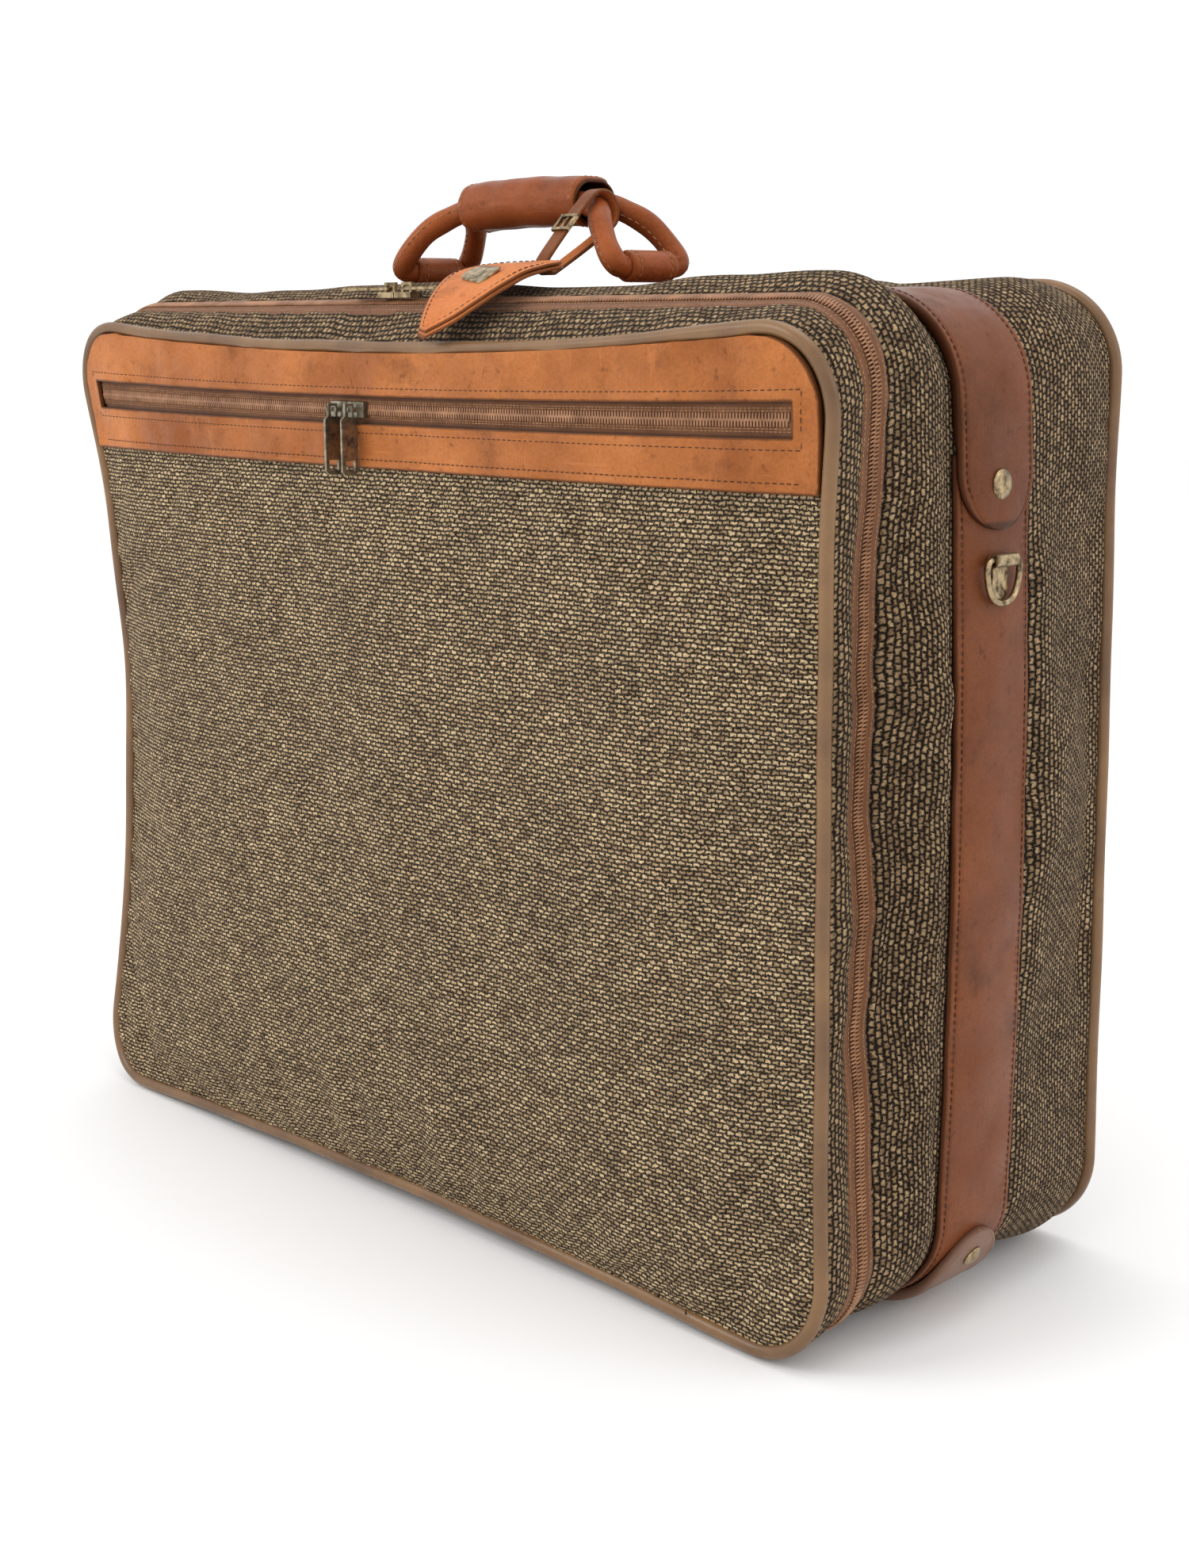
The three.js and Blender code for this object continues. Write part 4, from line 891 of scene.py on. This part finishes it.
for side in (-1, 1):
    count = len(pocket_teeth)
    places = np.stack([pocket_teeth + side * ZIP_PITCH / 4, np.full(count, SLOT_MID_Z + side * 1.35),
                       np.full(count, 1.75), np.full(count, math.pi / 2)], 1)
    label = "high" if side > 0 else "low"
    coil = stamp(f"pocket_coil_{label}", capsule(4.4, 1.25, 1.2), places, on_front)
    finish_piece(coil, "lid", "zip_tape", COIL)
    for reach in (4.2, 5.6):
        row = on_front(pocket_x, SLOT_MID_Z + side * reach, 1.45)
        sew(f"pocket_seam_{label}_{int(reach)}", row, "lid", "zip_tape", PALE_THREAD, ZIP_STITCH)

# ---------------------------------------------------------------- straps
STRAP_TIP_Z = 406.0
LOWER_TOP_Z = 442.0
SEAM_INSET = 4.2


def strap(name, s, half, low, high, crown=0.9, groove=0.5):
    """A leather strap on the loop, between two heights out of the cloth and with a half-width, at each s."""
    rim = np.linspace(0.8, 1, 9)
    rel = np.concatenate([-rim[::-1], np.linspace(-0.76, 0.76, 15), rim])[None, :]
    s, half, low, high = [np.broadcast_to(q, np.shape(s))[:, None] for q in (s, half, low, high)]
    drop = 1.1 * smooth(0.955, 1.0, np.abs(rel)) + groove * np.exp(-(((np.abs(rel) - 0.86) / 0.035) ** 2))
    swell = crown * (1 - np.abs(rel) ** 2.4) + 0.3 * loop_waves(s, rel * half, 60, 61)
    upper = high - crown * 0.35 - drop + swell
    under = low + 0 * rel
    y = STRAP_Y + np.concatenate([rel, rel[:, ::-1]], 1) * half
    points = on_case(s, y, np.concatenate([upper, under], 1))
    tips = smooth(0.9, 0.3, half / STRAP_HALF)
    edge = np.maximum(smooth(0.9, 1.0, np.abs(rel)), tips)
    edge = np.concatenate([edge, np.ones_like(edge)], 1)
    u = np.append(s[:, 0], s[-1, 0])
    v = np.append(y[len(y) // 2], 0)
    return grid_object(name, points, u, v, (False, True), edge=edge, caps=True)


def tip_half(distance, radius):
    """Half-width of a round-ended strap at a distance from its tip."""
    return np.sqrt(np.maximum(radius**2 - np.clip(radius - distance, 0, radius) ** 2, 1.0))


tip_s = side_s(STRAP_TIP_Z)
ease = (1 - np.cos(np.linspace(0, math.pi / 2, 16))) * STRAP_HALF
middle_s = np.linspace(tip_s + STRAP_HALF, 2 * QUARTER - tip_s - STRAP_HALF, 330)
top_s = np.concatenate([tip_s + ease[:-1], middle_s, (2 * QUARTER - tip_s - ease[:-1])[::-1]])
to_tip = np.minimum(top_s - tip_s, 2 * QUARTER - tip_s - top_s)
top_low = 3.7 - 2.4 * smooth(side_s(440) - tip_s, side_s(458) - tip_s, to_tip)
top_leather = strap("top_leather", top_s, tip_half(to_tip, STRAP_HALF), top_low, UPPER_LIFT + STRAP_THICK)
finish_piece(top_leather, "case", "strap_leather", STRAP, "top_strap")
low_s = np.linspace(2 * QUARTER - side_s(LOWER_TOP_Z), 4 * QUARTER + side_s(LOWER_TOP_Z), 520)
lower_leather = strap("lower_leather", low_s, STRAP_HALF, 0.5, LOWER_LIFT + STRAP_THICK)
finish_piece(lower_leather, "case", "strap_leather", STRAP, "lower_strap")
for side in (-1, 1):
    label = "front" if side < 0 else "rear"
    row = on_case(low_s, STRAP_Y + side * (STRAP_HALF - SEAM_INSET), LOWER_LIFT + STRAP_THICK + 0.05)
    sew(f"lower_stitch_{label}", row, "case", "strap_leather", DARK_THREAD)
    keep = to_tip > SEAM_INSET
    seam_half = tip_half(to_tip - SEAM_INSET, STRAP_HALF - SEAM_INSET)[keep]
    row = on_case(top_s[keep], STRAP_Y + side * seam_half, UPPER_LIFT + STRAP_THICK + 0.05)
    sew(f"top_stitch_{label}", row, "case", "strap_leather", DARK_THREAD)

# ---------------------------------------------------------------- skids, rivets and rings
SKID_HALF = 23.0
SKID_TIP_S = -SIDE - 8.6
SKID_END_S = -QUARTER + 246


def place_piece(piece, point, across, body, slot, material, *nodes):
    """Sets a piece made about +X down at a point, with its +X turned to a direction, all in millimetres."""
    turn = Vector((1, 0, 0)).rotation_difference(Vector(across)).to_matrix().to_4x4()
    piece.data.transform(Matrix.Translation(Vector(point) / 1000) @ turn)
    return finish_piece(piece, body, slot, material, *nodes)


RIVET = ((0, -0.4), (6.6, -0.4), (7.4, 0.0), (7.4, 0.7), (6.9, 1.15), (6.0, 1.25), (5.6, 1.6), (4.6, 2.3),
         (3.0, 2.8), (1.4, 3.0), (0, 3.05))
RIVET_Z = 428.0
RING_X, RING_Z = 330.4, 391.4
for side, label in ((-1, "left"), (1, "right")):
    def mirrored(s):
        return s if side > 0 else 2 * QUARTER - s

    ease = (1 - np.cos(np.linspace(0, math.pi / 2, 14))) * SKID_HALF
    skid_s = np.concatenate([SKID_TIP_S - ease[:-1], np.linspace(SKID_TIP_S - SKID_HALF, SKID_END_S, 40)])
    share = np.clip((skid_s + SIDE + ARC) / ARC, 0, 1)
    high = 11.2 + (7.8 - 11.2) * share
    low = 4.4 + 0 * skid_s
    body_half = tip_half(SKID_TIP_S - skid_s, SKID_HALF)
    skid = strap(f"skid_{label}", mirrored(skid_s), body_half, low, high - 0.2, crown=0.5, groove=-0.5)
    finish_piece(skid, "case", "skid_plastic", SKID, f"corner_skid_{label}")

    rivet_s = mirrored(-SIDE - 0.3 * ARC)
    seat, top = on_case(np.array([rivet_s] * 2), STRAP_Y, np.array([9.1, 12.0]))
    skid_stud = lathe(f"skid_stud_{label}", [(r * 0.8, h * 0.72) for r, h in RIVET])
    place_piece(skid_stud, seat, top - seat, "case", "brass_metal", BRASS, f"skid_rivet_{label}")
    seat, top = on_case(np.array([mirrored(side_s(RIVET_Z))] * 2), STRAP_Y, np.array([7.0, 12.0]))
    strap_stud = lathe(f"strap_stud_{label}", RIVET)
    place_piece(strap_stud, seat, top - seat, "case", "brass_metal", BRASS, f"strap_rivet_{label}")

    half, drop = 12.9, 20.4
    bow = [(half - 2, 0), (half - 0.2, -1.8), (half, -8), (half * 0.72, -drop + 3.4), (half * 0.3, -drop)]
    ring = [(-half + 2, 0), (0, 0), *bow, *[(-y, z) for y, z in bow[:0:-1]]]
    ring_points = curve_through([(side * RING_X, STRAP_Y + y, RING_Z + z) for y, z in ring], 96, closed=True)
    wire = tube(f"d_ring_wire_{label}", ring_points, 1.65, 12, closed=True)
    finish_piece(wire, f"d_ring_{label}", "brass_metal", BRASS, f"d_ring_{label}")

# ---------------------------------------------------------------- the handle
ROLL_HALF = ((HANDLE_HALF, 17.4, 0), (HANDLE_HALF, 20.4, 0), (HANDLE_HALF, 24.4, 2),
             (HANDLE_HALF - 5, 25, 9), (73.5, 19.3, 23), (62, 10, 31.5), (50, 6.9, 35), (20, 6.9, 38))
for side, label in ((-1, "front"), (1, "rear")):
    right = [(x, STRAP_Y + side * y, HANDLE_AXIS_Z + up) for x, y, up in ROLL_HALF]
    path = curve_through(right + [(-x, y, z) for x, y, z in reversed(right)], 260)
    roll = tube(f"roll_{label}", path, 6.6, 18, ripple=0.025)
    finish_piece(roll, "handle", "strap_leather", HANDLE, f"handle_roll_{label}")
    seam = tube_line(path, 6.62, math.radians(200 if side < 0 else 340))
    sew(f"roll_stitch_{label}", seam[8:-8], "handle", "strap_leather", PALE_THREAD, (4.4, 3.0, 0.8))
for side, label in ((-1, "left"), (1, "right")):
    along = np.linspace(-17.2, 17.2, 40)
    path = np.stack([0 * along + side * HANDLE_HALF, STRAP_Y + along, 0 * along + HANDLE_AXIS_Z], 1)
    size = 8.7 - 0.9 * smooth(15.4, 17.2, np.abs(along)) - 0.35 * np.exp(-(((np.abs(along) - 12) / 1.2) ** 2))
    sleeve = tube(f"sleeve_{label}", path, size, 28)
    finish_piece(sleeve, "handle", "strap_leather", HANDLE, f"handle_sleeve_{label}")
    for row, y in enumerate((-12, 12)):
        turn = np.linspace(0, 2 * math.pi, 60)
        ring = np.stack([side * HANDLE_HALF + 8.45 * np.cos(turn), 0 * turn + STRAP_Y + y,
                         HANDLE_AXIS_Z + 8.45 * np.sin(turn)], 1)
        sew(f"sleeve_stitch_{label}_{row}", ring, "handle", "strap_leather", PALE_THREAD, (3.8, 2.7, 0.8))


def stadium(half_width, half_height, count):
    """Points round a stadium, evenly spaced, from its rear end."""
    flat = half_width - half_height
    arc = math.pi * half_height
    total = 2 * arc + 4 * flat
    made = []
    for d in np.arange(count) / count * total:
        for centre, start in ((flat, -math.pi / 2), (-flat, math.pi / 2)):
            if d < arc:
                turn = start + d / half_height
                made.append((centre + half_height * math.cos(turn), half_height * math.sin(turn)))
                break
            d -= arc
            if d < 2 * flat:
                made.append((centre - math.copysign(d, centre), math.copysign(half_height, centre)))
                break
            d -= 2 * flat
    return np.array(made)


def grip_section(x, grow, count=72):
    """The wrap's section at x: it arches with the rolls, and its flap ends in a step at the top rear."""
    outline = stadium(16.6 + grow, 12.9 + grow, count)
    turn = np.arctan2(outline[:, 1], outline[:, 0])
    step = 1.1 * smooth(0.75, 0.9, turn) * smooth(2.9, 2.3, turn)
    wave = 0.35 * waves(x + 0 * turn, turn * 15, 30, 71)
    outline = outline * (1 + (step + wave)[:, None] / 15 * (grow > 0))
    arch = 1.6 * math.cos(x / 50 * math.pi / 2)
    return np.stack([0 * turn + x, STRAP_Y + outline[:, 0], 571.6 + arch + outline[:, 1]], 1)


grip_x = np.linspace(-50, 50, 60)
rounding = 1.2 * smooth(47.5, 50, np.abs(grip_x))
outer = np.stack([grip_section(x, 0.6 - r) for x, r in zip(grip_x, rounding)])
inner = np.stack([grip_section(x, -1.9) for x in grip_x])[::-1]
grip = grid_object("grip_wrap", np.concatenate([outer, inner]), np.append(grip_x, [*grip_x[::-1], grip_x[0]]),
                   np.arange(73) * 1.2, (True, True),
                   edge=np.repeat(np.append(smooth(47, 50, np.abs(grip_x)), np.ones(60)), 72))
finish_piece(grip, "handle", "strap_leather", HANDLE, "handle_grip")
for side, label in ((-1, "left"), (1, "right")):
    ring = grip_section(side * 46.0, 0.55)
    ring = np.append(ring, ring[:1], 0)
    sew(f"grip_stitch_{label}", ring, "handle", "strap_leather", PALE_THREAD, (4.0, 2.8, 0.8))

# ---------------------------------------------------------------- the luggage tag
TAG_X, TAG_TURN = 64.0, 0.22
LEAF_START_Y, LEAF_LENGTH = -44.0, 80.0
DRAPE = ((-136, 484), (-124, 495), (-113, 506.5), (-100, 518), (-84, 528.5), (-72, 531.5), (-50, 534),
         (-30, 535))
SHIELD = ((0, 11.5), (0.06, 21.5), (0.14, 28.5), (0.3, 31), (0.5, 30), (0.68, 25.5), (0.84, 17.5), (0.94, 9.5),
          (1, 2.5))


def averaged(value, pairs, stations, spread):
    """A value on the line through the pairs, rounded by a running mean of that many stations."""
    heights = np.pad(np.interp(stations, *zip(*pairs)), spread // 2, mode="edge")
    return np.interp(value, stations, np.convolve(heights, np.ones(spread) / spread, "valid"))


def shield_half(t):
    return averaged(t, SHIELD, np.linspace(0, 1, 81), 7)


def drape(y):
    return averaged(y, DRAPE, np.linspace(-140, -30, 221), 25)


def leaf_points(along, across, lift):
    x = TAG_X - along * math.sin(TAG_TURN) + across * math.cos(TAG_TURN)
    y = LEAF_START_Y - along * math.cos(TAG_TURN) - across * math.sin(TAG_TURN)
    return np.stack([x, y, drape(y) + lift], -1)


def leaf(name, shrink, lift, node):
    t = (1 - np.cos(np.linspace(0, math.pi, 60))) / 2
    rel = np.concatenate([np.linspace(-1, -0.9, 5), np.linspace(-0.85, 0.85, 13), np.linspace(0.9, 1, 5)])
    along = np.clip(t * LEAF_LENGTH, shrink, LEAF_LENGTH - shrink)[:, None] + 0 * rel
    across = (shield_half(t) - shrink)[:, None] * rel
    rim = np.maximum(smooth(0.9, 1.0, np.abs(rel))[None, :] + 0 * along, smooth(2.5, 0, LEAF_LENGTH - along))
    rim = np.maximum(rim, smooth(2.5, 0, along))
    warp = 0.35 * waves(along, across, 45, 81)
    upper = leaf_points(along, across, lift + 2.0 - 0.5 * rim + warp)
    under = leaf_points(along, across, lift + 0.2 * rim + warp)[:, ::-1]
    edge = np.concatenate([rim, np.ones_like(rim)], 1)
    piece = grid_object(name, np.concatenate([upper, under], 1), np.append(along[:, 0], 0),
                        np.append(across[30], [0] * 24), (False, True), edge=edge, caps=True)
    return finish_piece(piece, "tag", "band_leather", TAG, node)


leaf("tag_leaf_back", 0.0, 0.0, "tag_back_leaf")
leaf("tag_leaf_front", 1.0, 2.4, "tag_front_leaf")
turn = np.linspace(0.03, 0.97, 60)
seam_half = shield_half(turn) - 4.6
outline = np.concatenate([leaf_points(turn * LEAF_LENGTH, seam_half, 4.5),
                          leaf_points(turn * LEAF_LENGTH, -seam_half, 4.5)[::-1]])
sew("tag_stitch", outline, "tag", "band_leather", DARK_THREAD, (3.6, 2.5, 0.7))


def ribbon(name, path, across, width, thick):
    """A closed band of leather along a path, with its width along one direction."""
    ahead = np.roll(path, -1, 0) - np.roll(path, 1, 0)
    ahead /= np.linalg.norm(ahead, axis=1)[:, None]
    across = np.asarray(across, float)
    out = np.cross(ahead, across)
    section = [(-1, -1), (-0.9, -1), (0.9, -1), (1, -1), (1, 1), (0.86, 1.15), (0, 1.25), (-0.86, 1.15), (-1, 1)]
    points = np.stack([path + a * width / 2 * across + b * thick / 2 * out for a, b in section], 1)
    edge = np.array([abs(a) >= 0.9 for a, _ in section]) * np.ones((len(path), 1))
    lengths = np.append(0, np.cumsum(np.linalg.norm(np.diff(path, axis=0), axis=1)))
    return grid_object(name, points, np.append(lengths, lengths[-1] + 1), np.arange(len(section) + 1) * 1.0,
                       (True, True), edge=edge)


ROLL_POINT = np.array([TAG_X, -7.2, 566.0])
LEAF_BAR_POINT = np.array([TAG_X, LEAF_START_Y - 2.1, 536.2])
down = LEAF_BAR_POINT - ROLL_POINT
reach = np.linalg.norm(down)
down /= reach
side_on = np.cross(down, (1.0, 0.0, 0.0))
loop_line = []
for radius, centre, start in ((11.1, ROLL_POINT, math.pi / 2), (4.5, LEAF_BAR_POINT, -math.pi / 2)):
    for angle in np.linspace(start, start + math.pi, 24):
        loop_line.append(centre + radius * (math.cos(angle) * down + math.sin(angle) * side_on))
loop_line = curve_through(loop_line[::3], 140, closed=True)
finish_piece(ribbon("tag_loop", loop_line, (1, 0, 0), 8.8, 1.9), "tag", "band_leather", TAG, "tag_strap")
outward = loop_line - loop_line.mean(0)
outward /= np.linalg.norm(outward, axis=1)[:, None]
for label, edge_x in (("a", -3.5), ("b", 3.5)):
    row = loop_line + np.array([edge_x, 0, 0]) + outward
    sew(f"tag_loop_stitch_{label}", row, "tag", "band_leather", PALE_THREAD, (3.4, 2.3, 0.6))

# ---------------------------------------------------------------- linings
lining_y = np.linspace(-26, 105, 30)[None, :] + 0 * loop[:, None]
lining_out = -7.8 - 1.2 * (0.5 + 0.5 * loop_waves(loop[:, None], lining_y * 0.4, 60, 91))
case_lining = sheet_ring("case_lining", loop, lining_y, lining_out, 1.2)
finish_piece(case_lining, "case", "lining_cloth", LINING, "body_lining")


def lining_panel(name, y, inset, facing, spread):
    z, half = panel_rows(y, inset)
    return panel_object(name, z, half, spread, 1.2, facing=facing)


def back_spread(x, z, half):
    loose = 0.9 * waves(x * 0.5, z, 70, 92) * smooth(0, 30, half - np.abs(x))
    return np.stack([x, BACK_Y - 8.6 - 0.9 - loose, z], -1)


def lid_spread(x, z, half):
    loose = 0.8 * waves(x, z * 0.5, 80, 93) * smooth(0, 30, half - np.abs(x))
    return on_front(x, z, -12.8 - 0.8 - loose)


back_cloth = lining_panel("back_cloth_lining", BACK_Y - 8, 15.0, (0, -1, 0), back_spread)
finish_piece(back_cloth, "case", "lining_cloth", LINING, "back_lining")
lid_inner = lining_panel("lid_cloth_lining", FRONT_Y - 1, 6.2, (0, 1, 0), lid_spread)
finish_piece(lid_inner, "lid", "lining_cloth", LINING, "lid_lining")
for side, label in ((-1, "left"), (1, "right")):
    x = side * np.linspace(22, 275, 90)
    y = 104.5 - 1.6 * np.abs(waves(x, 0 * x, 130, 94))
    rel = np.array([-1, -0.94, -0.5, 0, 0.5, 0.94, 1])
    face = np.stack([np.stack([x, y - 0.8 + 0.3 * abs(r) ** 8, 0 * x + 300 + 12.5 * r], -1) for r in rel], 1)
    back = face[:, ::-1] + np.array([0, 1.5, 0])
    edge = np.tile(np.append(np.abs(rel) > 0.9, np.ones(7)), (90, 1))
    tie = grid_object(f"tie_{label}", np.concatenate([face, back], 1), np.append(x, 0), np.arange(15) * 3.8,
                      (False, True), edge=edge, caps=True)
    finish_piece(tie, "case", "strap_leather", STRAP, f"tie_strap_{label}")

# ---------------------------------------------------------------- the CAD nodes that stay
KEPT = {
    BRASS: ("main_slider_left", "main_slider_right", "main_pull_left", "main_pull_right", "ring_keeper_left",
            "ring_keeper_right", "tag_buckle", "tag_prong", "tag_plate", "tie_buckle"),
    PEWTER: ("pocket_slider_left", "pocket_slider_right", "pocket_pull_left", "pocket_pull_right"),
    HANDLE: ("handle_tab_left", "handle_tab_right"),
    BOARD: ("rear_board", "lid_board"),
    HOOP: ("frame_hoop",),
}
for material, names in KEPT.items():
    for name in names:
        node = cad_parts[name]
        node.data.materials.clear()
        node.data.materials.append(material)
        if material in (BRASS, PEWTER, HANDLE):
            rounded = node.modifiers.new("edges", "BEVEL")
            rounded.width = 0.0008 if material is HANDLE else 0.00045
            rounded.segments = 3
            rounded.angle_limit = math.radians(32)

# ---------------------------------------------------------------- floor, light and camera
floor_mesh = bpy.data.meshes.new("floor")
floor_mesh.from_pydata([(-6, -6, 0), (6, -6, 0), (6, 6, 0), (-6, 6, 0)], [], [(0, 1, 2, 3)])
floor = bpy.data.objects.new("floor", floor_mesh)
bpy.context.scene.collection.objects.link(floor)
pale = Finish("pale_floor", Base_Color=(0.95, 0.95, 0.95, 1), Roughness=0.7, Specular_IOR_Level=0.2)
floor.data.materials.append(pale.material)

world = bpy.data.worlds.new("studio")
bpy.context.scene.world = world
world.use_nodes = True
world.node_tree.nodes["Background"].inputs["Color"].default_value = (1.0, 1.0, 1.0, 1)
world.node_tree.nodes["Background"].inputs["Strength"].default_value = 1.06


def softbox(name, place, size, power):
    light = bpy.data.lights.new(name, "AREA")
    light.shape = "RECTANGLE"
    light.size, light.size_y = size
    light.energy = power
    lamp = bpy.data.objects.new(name, light)
    bpy.context.scene.collection.objects.link(lamp)
    lamp.location = place
    lamp.rotation_euler = (Vector((0, 0, 0.25)) - Vector(place)).to_track_quat("-Z", "Y").to_euler()


softbox("key", (-1.1, -2.1, 1.7), (1.2, 1.2), 24)
softbox("right", (2.3, 0.9, 1.5), (1.0, 1.4), 6)
softbox("top", (0.2, 0.2, 2.4), (1.6, 1.6), 10)
bpy.context.scene.view_settings.view_transform = "Standard"

# A view from the front right, a little above the case, with a long studio lens. LONG_SIDE is the picture's
# height, in the same units as the focal length and the shifts.
LONG_SIDE = 1978
AZIMUTH, ELEVATION, ROLL = math.radians(45.57), math.radians(9.31), math.radians(-0.31)
camera_data = bpy.data.cameras.new("camera")
camera_data.sensor_width = 36
camera_data.sensor_fit = "AUTO"
camera_data.lens = 2740.1 * 36 / LONG_SIDE
camera_data.shift_x = (750 - 758.5) / LONG_SIDE
camera_data.shift_y = (850.7 - 989) / LONG_SIDE
camera_data.clip_end = 50
camera = bpy.data.objects.new("camera", camera_data)
bpy.context.scene.collection.objects.link(camera)
level = Vector((-math.sin(AZIMUTH), math.cos(AZIMUTH), 0))
forward = level * math.cos(ELEVATION) - Vector((0, 0, math.sin(ELEVATION)))
camera.location = (0.9389, -0.8649, 0.5076)
camera.rotation_mode = "QUATERNION"
camera.rotation_quaternion = forward.to_track_quat("-Z", "Y") @ Matrix.Rotation(ROLL, 3, "Z").to_quaternion()
bpy.context.scene.camera = camera
